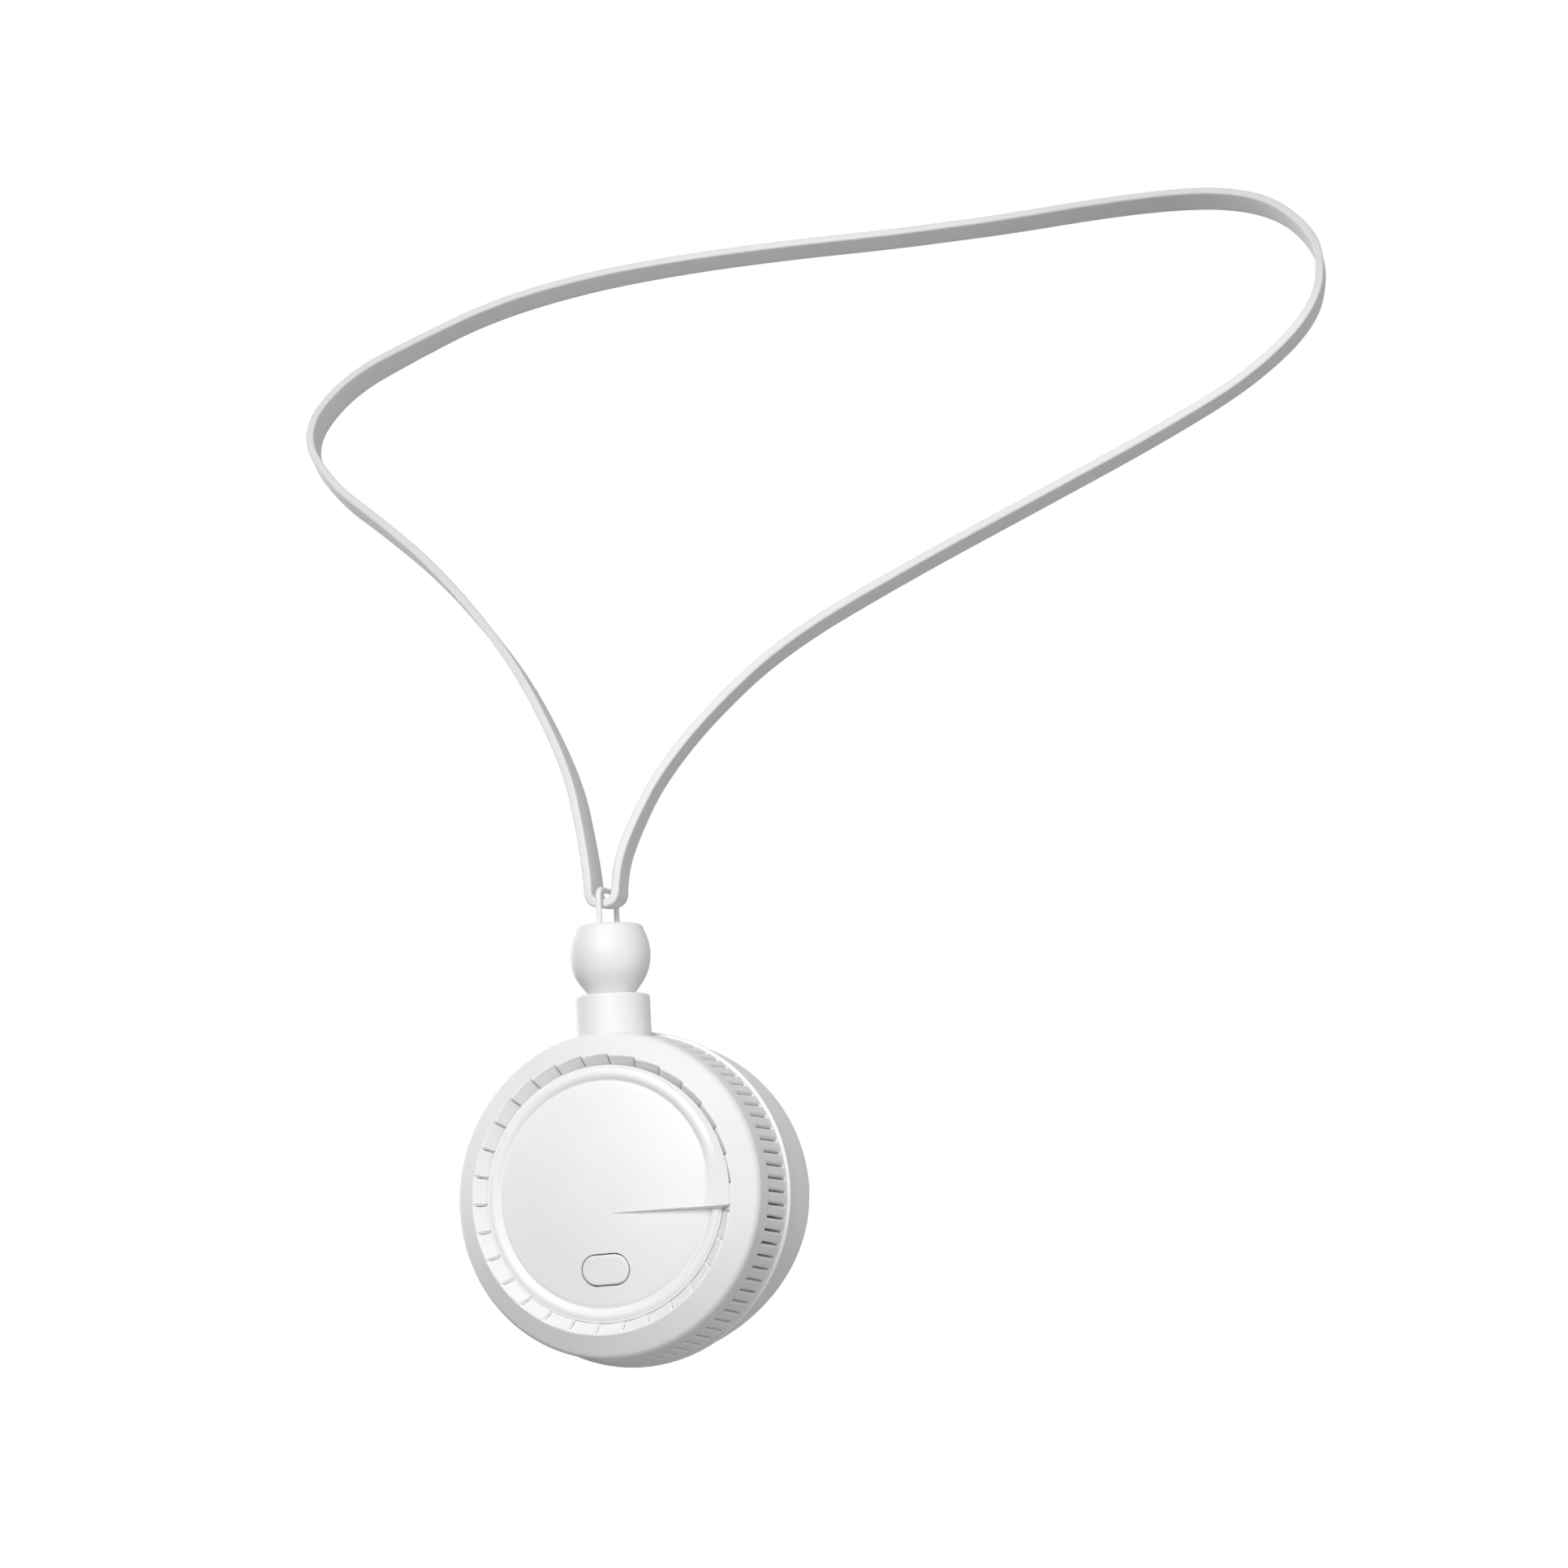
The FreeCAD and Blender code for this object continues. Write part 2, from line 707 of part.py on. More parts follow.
half_diagonal = math.hypot(size["strap_width"].number, size["strap_thickness"].number) / 2
diagonal_formula = "sqrt(Sizes.strap_width ^ 2 + Sizes.strap_thickness ^ 2) / 2"
leg_reach = Size(half_diagonal, diagonal_formula) + size["bail_gap"] + size["bail_wire"] / 2
bar_half = leg_reach - size["bail_bend"]
bend_up = size["bail_rise"] - size["bail_bend"]
upright_turn = FreeCAD.Rotation(FreeCAD.Vector(1, 1, 1), 120)
leg_length = size["bead_drop"] + size["bail_leg_set"] + bend_up
leg_drop = size["bead_drop"] + size["bail_leg_set"]
wires = []
for side, quarter in ((1, 0), (-1, 90)):
    bend = document.addObject("Part::Torus", "Torus")
    bend.setExpression("Radius1", size["bail_bend"].formula)
    bend.setExpression("Radius2", (size["bail_wire"] / 2).formula)
    bend.Angle3 = 90
    bend.Placement = FreeCAD.Placement(
        bail_place + FreeCAD.Vector(0, side * bar_half.number, bend_up.number),
        upright_turn.multiply(FreeCAD.Rotation(FreeCAD.Vector(0, 0, 1), quarter)))
    leg_place = shifted(on_neck(leg_drop), 0, leg_reach * side, 0)
    wires += [bend, cylinder(size["bail_wire"] / 2, leg_length, leg_place)]
bar_start = bail_place + FreeCAD.Vector(0, -bar_half.number, size["bail_rise"].number)
bar_turn = FreeCAD.Rotation(FreeCAD.Vector(1, 0, 0), -90)
wires.append(cylinder(size["bail_wire"] / 2, bar_half * 2, FreeCAD.Placement(bar_start, bar_turn)))
keep("bail_loop", joined(wires))

# Swivel bead with a bore for the pin and two holes for the bail's legs

bead = new_body(on_neck(size["bead_drop"]))
bead_shoulder_top = size["bead_top_radius"] + size["bead_top_round"]
bore_end = size["bead_height"] - size["pin_set"]
turned(bead, [
    (0, 0),
    (0, -bore_end),
    (size["pin_radius"], -bore_end),
    (size["pin_radius"], -size["bead_height"]),
    (size["bead_foot_radius"], -size["bead_height"]),
    (size["bead_shoulder_radius"], -size["bead_shoulder_drop"]),
    (bead_shoulder_top, -size["bead_top_round"]),
    (size["bead_top_radius"], 0),
], {5: (size["bead_belly_round"], 1), 6: (size["bead_top_round"], 1)})
leg_holes = new_sketch(bead, "XY_Plane")
for side in (-1, 1):
    draw_circle(leg_holes, 0, leg_reach * side, size["bail_wire"] / 2)
pocketed(bead, leg_holes, size["bail_leg_set"])
keep("swivel_bead", bead)

# Swivel pin: its head turns in the collar, its stem is pressed into the bead

pin = new_body(on_neck(collar_top_drop))
head_top = -(size["collar_plate"] + size["swivel_gap"])
head_bottom = head_top - size["pin_head_height"]
pin_top = size["swivel_gap"] + size["pin_set"]
turned(pin, [
    (0, head_bottom),
    (size["pin_head_radius"], head_bottom),
    (size["pin_head_radius"], head_top),
    (size["pin_radius"], head_top),
    (size["pin_radius"], pin_top),
    (0, pin_top),
])
keep("swivel_pin", pin)

# Collar: sits on the stub of the housing, its foot follows the drum

cavity_radius = size["pin_head_radius"] + size["pin_head_room"]
cavity_top = collar_height - size["collar_plate"]
stub_top = cavity_top - size["swivel_gap"] - size["pin_head_height"] - size["pin_head_room"]
stub_bore = size["stub_radius"] + size["stub_fit"]
collar_blank = new_body(on_neck(axis_drop))
turned(collar_blank, [
    (stub_bore, size["stub_root_radius"]),
    (size["collar_radius"], size["stub_root_radius"]),
    (size["collar_radius"], collar_height - size["collar_edge_round"]),
    (size["collar_radius"] - size["collar_edge_round"], collar_height),
    (size["pin_radius"] + size["pin_running_fit"], collar_height),
    (size["pin_radius"] + size["pin_running_fit"], cavity_top),
    (cavity_radius, cavity_top),
    (cavity_radius, stub_top),
    (stub_bore, stub_top),
], {2: (size["collar_edge_round"], 1)})

crest_outer = size["crest_radius"] + size["crest_width"]
trim_front = size["housing_end"]
trim_end = size["housing_end"] + size["trim_width"]
fit = size["collar_fit"]
envelope = new_body(drum)
turned(envelope, [
    (0, -fit),
    (crest_outer, -fit),
    (size["bezel_slope_radius"] + fit, size["bezel_slope_drop"] - fit),
    (size["bezel_radius"] + fit, size["bezel_side_depth"] - fit),
    (size["bezel_radius"] + fit, size["bezel_depth"] + fit),
    (size["housing_radius"] + fit, size["bezel_depth"] + fit),
    (size["housing_rear_radius"] + fit, trim_front - fit),
    (size["trim_radius"] + fit, trim_front - fit),
    (size["trim_radius"] + fit, trim_end + fit),
    (size["rear_radius"] + fit, trim_end + fit),
    (size["rear_radius"] + fit, size["rear_floor_depth"]),
    (0, size["rear_floor_depth"]),
], {2: (size["bezel_round"], 1)})
collar = without(collar_blank, envelope)
keep("neck_collar", collar)

# Front bezel: a conical ring, cut by a saw-toothed cone for the intake louvres

cavity_roof = size["bezel_depth"] - size["bezel_pocket"]
cavity_outer = size["bezel_radius"] - size["bezel_wall"]
foot_wall = size["groove_foot_radius"] + size["bezel_wall"]
bezel = new_body(drum)
turned(bezel, [
    (size["groove_foot_radius"], 0),
    (crest_outer, 0),
    (size["bezel_slope_radius"], size["bezel_slope_drop"]),
    (size["bezel_radius"], size["bezel_side_depth"]),
    (size["bezel_radius"], size["bezel_depth"]),
    (cavity_outer, size["bezel_depth"]),
    (cavity_outer, cavity_roof),
    (foot_wall + size["louvre_step"], cavity_roof),
    (foot_wall + size["louvre_step"], size["bezel_depth"]),
    (size["ledge_radius"], size["bezel_depth"]),
    (size["ledge_radius"], ledge_front),
    (size["groove_foot_radius"], ledge_front),
], {2: (size["bezel_round"], 1)})
slit_start = size["groove_foot_radius"] + size["louvre_step"]
slit = new_sketch(bezel, "XY_Plane")
draw_outline(slit, [
    (slit_start, 0),
    (slit_start + size["louvre_slit_length"], 0),
    (slit_start + size["louvre_slit_length"], -size["louvre_slit_width"]),
    (slit_start, -size["louvre_slit_width"]),
])
slit_cut = pocketed(bezel, slit, size["bezel_depth"], True)
repeated(bezel, slit_cut, louvre_count)


def saw_ring(inner, outer, depth):
    """Closed saw-tooth outline: each tooth leaves the outer radius and ends on the inner one."""
    points = []
    for index in range(louvre_count):
        for share, radius in ((0.0, outer), (1.0 - louvre_step_share, inner)):
            angle = -2 * math.pi * (index + share) / louvre_count
            points.append(FreeCAD.Vector(radius * math.cos(angle), radius * math.sin(angle), depth))
    return Part.makePolygon(points + points[:1])


groove_slope = (size["crest_radius"].number - size["groove_foot_radius"].number) / size["groove_depth"].number
over = size["louvre_step"].number
foot_inner = size["groove_foot_radius"].number
foot_outer = foot_inner + size["louvre_step"].number
reach_over = groove_slope * (size["groove_depth"].number + over)
saw_foot = saw_ring(foot_inner, foot_outer, size["groove_depth"].number)
saw_mouth = saw_ring(foot_inner + reach_over, foot_outer + reach_over, -over)
louvre_cone = computed(Part.makeLoft([saw_foot, saw_mouth], True, True), drum)
keep("front_bezel", without(bezel, louvre_cone))

# Spiral cover: its surface climbs once round a pole towards its rim and drops at a step


def dome_height(radius):
    """How far the dome stands above its foot at a distance from the drum's axis."""
    if radius >= size["dome_reach"].number:
        return 0.0
    ball = size["dome_radius"].number
    return math.sqrt(ball ** 2 - radius ** 2) - ball + size["cover_dome"].number


def spiral_solid(pole, reach, start_angle, low, rise, base):
    """Low is the depth at the step's foot, rise is added at the rim after one turn, the dome all over."""
    hub = size["cover_hub_radius"].number

    def section_at(share):
        angle = start_angle + 2 * math.pi * (1 - spiral_step_share) * share
        if share > 1:
            angle = start_angle + 2 * math.pi
        way = FreeCAD.Vector(math.cos(angle), math.sin(angle), 0)
        along = pole.x * way.x + pole.y * way.y
        rim = math.sqrt(along ** 2 + reach ** 2 - pole.x ** 2 - pole.y ** 2) - along
        lift = rise * (share ** spiral_power if share <= 1 else 0)

        def at(radius, depth):
            return pole + way * radius + FreeCAD.Vector(0, 0, depth)

        top = []
        for index in range(spiral_points):
            radius = hub + (rim - hub) * index / (spiral_points - 1)
            height = dome_height(at(radius, 0).Length)
            climbed = lift * (radius - hub) / (rim - hub)
            top.append(at(radius, low - height + climbed))
        corners = [top[-1], at(rim, base), at(hub, base), top[0]]
        line = Part.BSplineCurve()
        line.interpolate(top)
        sides = [Part.LineSegment(here, there).toShape() for here, there in zip(corners, corners[1:])]
        return Part.Wire([line.toShape()] + sides)

    steps = spiral_sections - 1
    climb = Part.makeLoft([section_at(index / steps) for index in range(spiral_sections)], True, False)
    step = Part.makeLoft([section_at(1.0), section_at(2.0)], True, True)
    hub_top = low - dome_height(pole.Length) - size["cover_hub_proud"].number
    overlap = hub * 1.05
    core = Part.makeCylinder(overlap, base - hub_top, FreeCAD.Vector(pole.x, pole.y, hub_top))
    return climb.fuse([step, core]).removeSplitter()


cover_pole = FreeCAD.Vector(size["cover_pole_x"].number, size["cover_pole_drop"].number, 0)
cover_blank = computed(spiral_solid(
    cover_pole, size["cover_reach"].number, -math.radians(step_angle),
    size["cover_drop"].number, -size["cover_drop"].number, ledge_front.number), drum)

# Room of the bezel that the cover keeps out of
room = size["cover_fit"]
keep_out = new_body(drum)
keep_foot = size["groove_foot_radius"] - room
turned(keep_out, [
    (keep_foot, size["bezel_depth"] + room),
    (keep_foot, size["groove_depth"] - room),
    (size["crest_radius"] - room, -room),
    (size["bezel_radius"], -room),
    (size["bezel_radius"], size["bezel_depth"] + room),
])
cover_trimmed = without(cover_blank, keep_out)
button_hole = stadium(
    size["button_length"] + size["button_fit"] * 2, size["button_width"] + size["button_fit"] * 2,
    size["bezel_depth"] * 2, drum, 0, size["button_drop"], -size["bezel_depth"])
cover_pierced = without(cover_trimmed, button_hole)

posts = []
for side in (-1, 1):
    post_place = shifted(drum, size["post_spread"] * side, size["button_drop"], ledge_front)
    posts.append(cylinder(size["cover_post_radius"], switch_board_front - ledge_front, post_place))
cover_posted = joined([cover_pierced] + posts)
screw_holes = []
for side in (-1, 1):
    hole_front = switch_board_back - size["switch_screw_length"]
    hole_place = shifted(drum, size["post_spread"] * side, size["button_drop"], hole_front)
    screw_holes.append(cylinder(size["switch_screw_radius"], size["switch_screw_length"], hole_place))
switch_screw_holes = joined(screw_holes)
keep("spiral_cover", without(cover_posted, switch_screw_holes))

# Power button with a flange behind the cover, and the switch it presses

button_top = size["dome_top"] - size["button_proud"]
button_blank = stadium(
    size["button_length"], size["button_width"], flange_front - button_top,
    drum, 0, size["button_drop"], button_top)
button_crown = new_body(drum)
turned(button_crown, [
    (0, button_top),
    (size["dome_reach"], size["cover_drop"] - size["button_proud"]),
    (size["dome_reach"], flange_front),
    (0, flange_front),
], {0: (size["dome_radius"], 1)})
button_face = document.addObject("Part::Common", "Face")
button_face.Base = button_blank
button_face.Tool = button_crown
document.recompute()
button_flange = stadium(
    size["button_length"] + size["button_flange"] * 2, size["button_width"] + size["button_flange"] * 2,
    size["button_flange_thickness"], drum, 0, size["button_drop"], flange_front)
keep("power_button", joined([button_face, button_flange]))

switch_body = block(
    size["switch_side"], size["switch_side"], size["switch_thickness"],
    drum, 0, size["button_drop"], switch_front)
switch_plunger = cylinder(
    size["switch_plunger_radius"], size["switch_plunger_height"],
    shifted(drum, 0, size["button_drop"], plunger_front))
keep("tact_switch", joined([switch_body, switch_plunger]))
switch_plate = block(
    size["switch_board_length"], size["switch_board_width"], size["switch_board_thickness"],
    drum, 0, size["button_drop"], switch_board_front)
keep("switch_board", without(switch_plate, switch_screw_holes))
switch_screw = screw(
    size["switch_screw_head_radius"], size["switch_screw_head"],
    size["switch_screw_radius"], size["switch_screw_length"], switch_board_back)
keep("switch_screws", computed(
    around(switch_screw, 2, size["post_spread"].number), shifted(drum, 0, size["button_drop"], 0)))

# Main housing: ribbed vent band with the neck stub

spigot_front = size["bezel_depth"] - size["spigot_length"]
vent_start = size["bezel_depth"] + size["vent_front_margin"]
vent_length = size["housing_end"] - size["vent_rear_margin"] - vent_start
band = new_body(drum)
turned(band, [
    (size["housing_bore"], spigot_front),
    (size["spigot_radius"], spigot_front),
    (size["spigot_radius"], size["bezel_depth"]),
    (size["housing_radius"], size["bezel_depth"]),
    (size["housing_rear_radius"], size["housing_end"]),
    (size["housing_bore"], size["housing_end"]),
])
slot = new_sketch(band, "XY_Plane", vent_start)
slot_inner = size["housing_bore"] - size["vent_slot_width"]
slot_outer = size["housing_rear_radius"] + size["vent_slot_width"]
draw_outline(slot, [
    (slot_inner, -(size["vent_slot_width"] / 2)),
    (slot_outer, -(size["vent_slot_width"] / 2)),
    (slot_outer, size["vent_slot_width"] / 2),
    (slot_inner, size["vent_slot_width"] / 2),
])
slot_cut = pocketed(band, slot, vent_length, True)
repeated(band, slot_cut, rib_count)
stub_place = shifted(on_neck(axis_drop), 0, 0, size["stub_root_radius"])
stub = cylinder(size["stub_radius"], stub_top - size["stub_root_radius"], stub_place)
housing_blank = joined([band, stub])
frame_back = size["housing_end"] + size["frame_thickness"]
frame_screw_hole = Part.makeCylinder(
    size["frame_screw_radius"].number, size["frame_screw_length"].number,
    FreeCAD.Vector(0, 0, frame_back.number - size["frame_screw_length"].number))
screw_start = 180.0 / screw_count
frame_screw_holes = computed(
    around(frame_screw_hole, screw_count, size["frame_screw_ring"].number, screw_start), drum)
keep("main_housing", without(housing_blank, frame_screw_holes))

# Inlet shroud: an annular plate with a notch for the ribbon

shroud = new_body(drum)
turned(shroud, [
    (size["shroud_eye_radius"], size["shroud_depth"]),
    (size["housing_bore"], size["shroud_depth"]),
    (size["housing_bore"], shroud_back),
    (size["shroud_eye_radius"], shroud_back),
])
notch_width = size["ribbon_width"] + size["ribbon_room"] * 2
notch_height = size["ribbon_thickness"] + size["ribbon_room"] * 2
shroud_notch = block(
    notch_width, notch_height, size["frame_thickness"] * 2,
    drum, 0, size["ribbon_radius"], size["shroud_depth"] - size["shroud_thickness"])
keep("inlet_shroud", without(shroud, shroud_notch))

# Impeller: cap over the rotor, back plate and swept blades

impeller = new_body(drum)
hub_radius = size["rotor_radius"] + size["impeller_hub_wall"]
plate_back = size["impeller_plate_depth"] + size["impeller_plate_thickness"]
turned(impeller, [
    (0, size["impeller_front"]),
    (hub_radius, size["impeller_front"]),
    (hub_radius, size["impeller_plate_depth"]),
    (size["impeller_radius"], size["impeller_plate_depth"]),
    (size["impeller_radius"], plate_back),
    (size["rotor_radius"], plate_back),
    (size["rotor_radius"], cap_back),
    (0, cap_back),
])
blade = new_sketch(impeller, "XY_Plane", size["blade_front"])
draw_outline(blade, [
    (size["blade_inner_radius"], 0),
    (size["blade_reach"], size["blade_sweep"]),
    (size["blade_reach"], size["blade_sweep"] + size["blade_thickness"]),
    (size["blade_inner_radius"], size["blade_thickness"]),
])
blade_pad = padded(impeller, blade, size["impeller_plate_depth"] - size["blade_front"])
repeated(impeller, blade_pad, blade_count)
keep("impeller", impeller)

# Motor: steel cup with a ring magnet, shaft, bearing and clip

rotor = new_body(drum)
rotor_inner = size["rotor_radius"] - size["rotor_wall"]
turned(rotor, [
    (size["shaft_radius"], cap_back),
    (size["rotor_radius"], cap_back),
    (size["rotor_radius"], size["rotor_end"]),
    (rotor_inner, size["rotor_end"]),
    (rotor_inner, rotor_plate_back),
    (size["shaft_radius"], rotor_plate_back),
])
keep("rotor_cup", rotor)

magnet = new_body(drum)
magnet_inner = rotor_inner - size["magnet_wall"]
turned(magnet, [
    (magnet_inner, magnet_front),
    (rotor_inner, magnet_front),
    (rotor_inner, magnet_front + size["magnet_length"]),
    (magnet_inner, magnet_front + size["magnet_length"]),
])
keep("rotor_magnet", magnet)

shaft_length = size["shaft_end"] - cap_back
keep("motor_shaft", cylinder(size["shaft_radius"], shaft_length, shifted(drum, 0, 0, cap_back)))

bearing = new_body(drum)
bearing_bore = size["shaft_radius"] + size["shaft_fit"]
turned(bearing, [
    (bearing_bore, size["bearing_front"]),
    (size["bearing_radius"], size["bearing_front"]),
    (size["bearing_radius"], frame_back),
    (bearing_bore, frame_back),
])
keep("shaft_bearing", bearing)

clip = new_body(drum)
turned(clip, [
    (size["shaft_radius"], size["clip_depth"]),
    (size["clip_radius"], size["clip_depth"]),
    (size["clip_radius"], size["clip_depth"] + size["clip_thickness"]),
    (size["shaft_radius"], size["clip_depth"] + size["clip_thickness"]),
])
keep("shaft_clip", clip)

# Stator: a hub with T-shaped teeth, one coil round each tooth, and three leads

tube_radius = size["bearing_radius"] + size["bearing_tube_wall"]
stator_hub = tube_radius + size["stator_hub_wall"]
stator_back = size["stator_front"] + size["stator_thickness"]
stator_tip = magnet_inner - size["air_gap"]
tip_root = stator_tip - size["stator_tip_length"]
half_tooth = size["stator_tooth_width"] / 2
half_tip = size["stator_tip_width"] / 2
tip_edge = tip_root + size["air_gap"]
stator = new_body(drum)
turned(stator, [
    (tube_radius, size["stator_front"]),
    (stator_hub, size["stator_front"]),
    (stator_hub, stator_back),
    (tube_radius, stator_back),
])
tooth = new_sketch(stator, "XY_Plane", size["stator_front"])
tooth_root = tube_radius + size["stator_hub_wall"] / 2
draw_outline(tooth, [
    (tooth_root, -half_tooth),
    (tip_root, -half_tooth),
    (tip_root, -half_tip),
    (tip_edge, -half_tip),
    (stator_tip, -half_tooth),
    (stator_tip, half_tooth),
    (tip_edge, half_tip),
    (tip_root, half_tip),
    (tip_root, half_tooth),
    (tooth_root, half_tooth),
])
tooth_pad = padded(stator, tooth, size["stator_thickness"])
repeated(stator, tooth_pad, stator_count)
keep("stator_core", stator)

coil_length = size["coil_length"].number
coil_start = tip_root.number - coil_length
core_width = size["stator_tooth_width"].number
core_height = size["stator_thickness"].number
coil_width = core_width + 2 * size["coil_wall"].number
coil_height = core_height + 2 * size["coil_end_wall"].number
coil_front = size["stator_front"].number - size["coil_end_wall"].number
coil_block = Part.makeBox(coil_length, coil_width, coil_height, FreeCAD.Vector(0, -coil_width / 2, coil_front))
coil_core = Part.makeBox(
    coil_length, core_width, core_height, FreeCAD.Vector(0, -core_width / 2, size["stator_front"].number))
keep("stator_coils", computed(around(coil_block.cut(coil_core), stator_count, coil_start), drum))

coil_back = stator_back + size["coil_end_wall"]
lead_length = size["board_front"] - coil_back
lead_front = FreeCAD.Vector(0, 0, coil_back.number)
lead = Part.makeCylinder(size["lead_radius"].number, lead_length.number, lead_front)
keep("motor_leads", computed(around(lead, lead_count, size["lead_ring_radius"].number), drum))

# Mid frame: bulkhead with bearing tube, lip for the rear shell and posts for the board

frame = new_body(drum)
lip_end = frame_back + size["frame_lip_length"]
lip_inner = size["frame_lip_radius"] - size["frame_lip_wall"]
turned(frame, [
    (size["bearing_radius"], size["bearing_front"]),
    (tube_radius, size["bearing_front"]),
    (tube_radius, size["housing_end"]),
    (size["frame_radius"], size["housing_end"]),
    (size["frame_radius"], frame_back),
    (size["frame_lip_radius"], frame_back),
    (size["frame_lip_radius"], lip_end),
    (lip_inner, lip_end),
    (lip_inner, frame_back),
    (size["bearing_radius"], frame_back),
])
frame_post = Part.makeCylinder(
    size["post_radius"].number, size["board_front"].number - frame_back.number,
    FreeCAD.Vector(0, 0, frame_back.number))
frame_posts = computed(around(frame_post, screw_count, size["post_ring"].number, screw_start), drum)
frame_posted = joined([frame, frame_posts])
head_room = Part.makeCylinder(
    size["frame_screw_head_radius"].number + size["frame_screw_room"].number,
    size["frame_lip_length"].number * 2, FreeCAD.Vector(0, 0, frame_back.number))
head_rooms = computed(
    around(head_room, screw_count, size["frame_screw_ring"].number, screw_start), drum)
board_hole = Part.makeCylinder(
    size["board_screw_radius"].number, size["board_screw_length"].number,
    FreeCAD.Vector(0, 0, size["board_front"].number + size["board_thickness"].number
                   - size["board_screw_length"].number))
board_holes = computed(around(board_hole, screw_count, size["post_ring"].number, screw_start), drum)
lead_hole = Part.makeCylinder(size["lead_hole_radius"].number, lead_length.number, lead_front)
lead_holes = computed(around(lead_hole, lead_count, size["lead_ring_radius"].number), drum)
frame_notch = block(
    notch_width, notch_height, size["frame_thickness"] * 2,
    drum, 0, size["ribbon_radius"], size["housing_end"] - size["ribbon_room"])
frame_cutters = document.addObject("Part::Compound", "Cutters")
frame_cutters.Links = [frame_screw_holes, head_rooms, board_holes, lead_holes, frame_notch]
keep("mid_frame", without(frame_posted, frame_cutters))
frame_screw = screw(
    size["frame_screw_head_radius"], size["frame_screw_head"],
    size["frame_screw_radius"], size["frame_screw_length"], frame_back)
keep("frame_screws", computed(
    around(frame_screw, screw_count, size["frame_screw_ring"].number, screw_start), drum))

# Trim ring between the vent band and the rear shell

trim = new_body(drum)
trim_round = size["trim_edge_round"]
turned(trim, [
    (size["trim_bore"], trim_front),
    (size["trim_radius"] - trim_round, trim_front),
    (size["trim_radius"], trim_front + trim_round),
    (size["trim_radius"], trim_end - trim_round),
    (size["trim_radius"] - trim_round, trim_end),
    (size["trim_bore"], trim_end),
], {1: (trim_round, 1), 3: (trim_round, 1)})
keep("trim_ring", trim)

# Rear shell: a cup with a flat upper back, a step in the middle and a lower back that sweeps forward

rear = new_body(drum)
rear_back = size["rear_back_depth"]
turned(rear, [
    (0, trim_end),
    (size["rear_radius"], trim_end),
    (size["rear_radius"], rear_back - size["rear_edge_length"]),
    (size["rear_radius"] - size["rear_edge_inset"], rear_back),
    (0, rear_back),
], {2: (size["rear_edge_round"], 1)})


def behind_the_sweep(bar_radius):
    """A block behind the lower half of the drum, less a wide bar whose round is the swept back."""
    across = (size["rear_radius"] + size["rear_wall"]) * 2
    down = size["rear_radius"] + size["rear_wall"]
    lower_half = block(across, down, size["rear_length"] + size["rear_wall"], drum, 0, down / 2, trim_end)
    bar_place = shifted(drum, -(across / 2), 0, rear_back - size["rear_step"] - size["sweep_radius"])
    bar_turn = FreeCAD.Placement(FreeCAD.Vector(), FreeCAD.Rotation(FreeCAD.Vector(0, 1, 0), 90))
    return without(lower_half, cylinder(bar_radius, across, bar_place.multiply(bar_turn)))


rear_blank = without(rear, behind_the_sweep(size["sweep_radius"]))
rear_bore_room = cylinder(
    size["rear_bore"], size["rear_floor_depth"] - trim_end, shifted(drum, 0, 0, trim_end))
rear_cavity = without(rear_bore_room, behind_the_sweep(size["sweep_radius"] - size["sweep_wall"]))
rear_hollow = without(rear_blank, rear_cavity)

# The port looks to the side: its frame has X pointing down and Z outward along the drum's radius
board_back = size["board_front"] + size["board_thickness"]
socket_middle = board_back + size["socket_width"] / 2
port_side = FreeCAD.Rotation(FreeCAD.Vector(0, 0, 1), 90)
port_out = FreeCAD.Rotation(FreeCAD.Vector(1, 0, 0), -90)
port = drum.multiply(FreeCAD.Placement(
    FreeCAD.Vector(0, 0, socket_middle.number), port_side.multiply(port_out)))
socket_mouth = size["rear_radius"] - size["socket_recess"]
socket_start = socket_mouth - size["socket_depth"]
port_hole = stadium(
    size["socket_length"] + size["socket_fit"] * 2, size["socket_width"] + size["socket_fit"] * 2,
    size["socket_depth"], port, 0, 0, size["rear_bore"] - size["rear_edge_inset"])
lens_start = size["rear_radius"] - size["lens_length"]
lens_hole = cylinder(
    size["lens_radius"], size["lens_length"], shifted(port, size["lens_offset"], 0, lens_start))
keep("rear_shell", without(without(rear_hollow, port_hole), lens_hole))

# Charging socket: metal tube with a contact tongue inside

socket_shell = stadium(
    size["socket_length"], size["socket_width"], size["socket_depth"], port, 0, 0, socket_start)
mouth_length = size["socket_length"] - size["socket_wall"] * 2
mouth_width = size["socket_width"] - size["socket_wall"] * 2
socket_cavity = stadium(
    mouth_length, mouth_width, size["socket_depth"], port, 0, 0, socket_start + size["socket_floor"])
tongue = block(
    size["socket_tongue_length"], size["socket_tongue"], size["socket_depth"] - size["socket_floor"],
    port, 0, 0, socket_start + size["socket_floor"] / 2)
keep("usb_socket", joined([without(socket_shell, socket_cavity), tongue]))
shell_there = Size(
    math.sqrt(size["rear_radius"].number ** 2 - size["lens_offset"].number ** 2),
    "sqrt(" + size["rear_radius"].formula + " ^ 2 - " + size["lens_offset"].formula + " ^ 2)")
lens_visible = shell_there - lens_start
keep("status_lens", cylinder(
    size["lens_radius"], lens_visible, shifted(port, size["lens_offset"], 0, lens_start)))

# Main board with its screws and controller

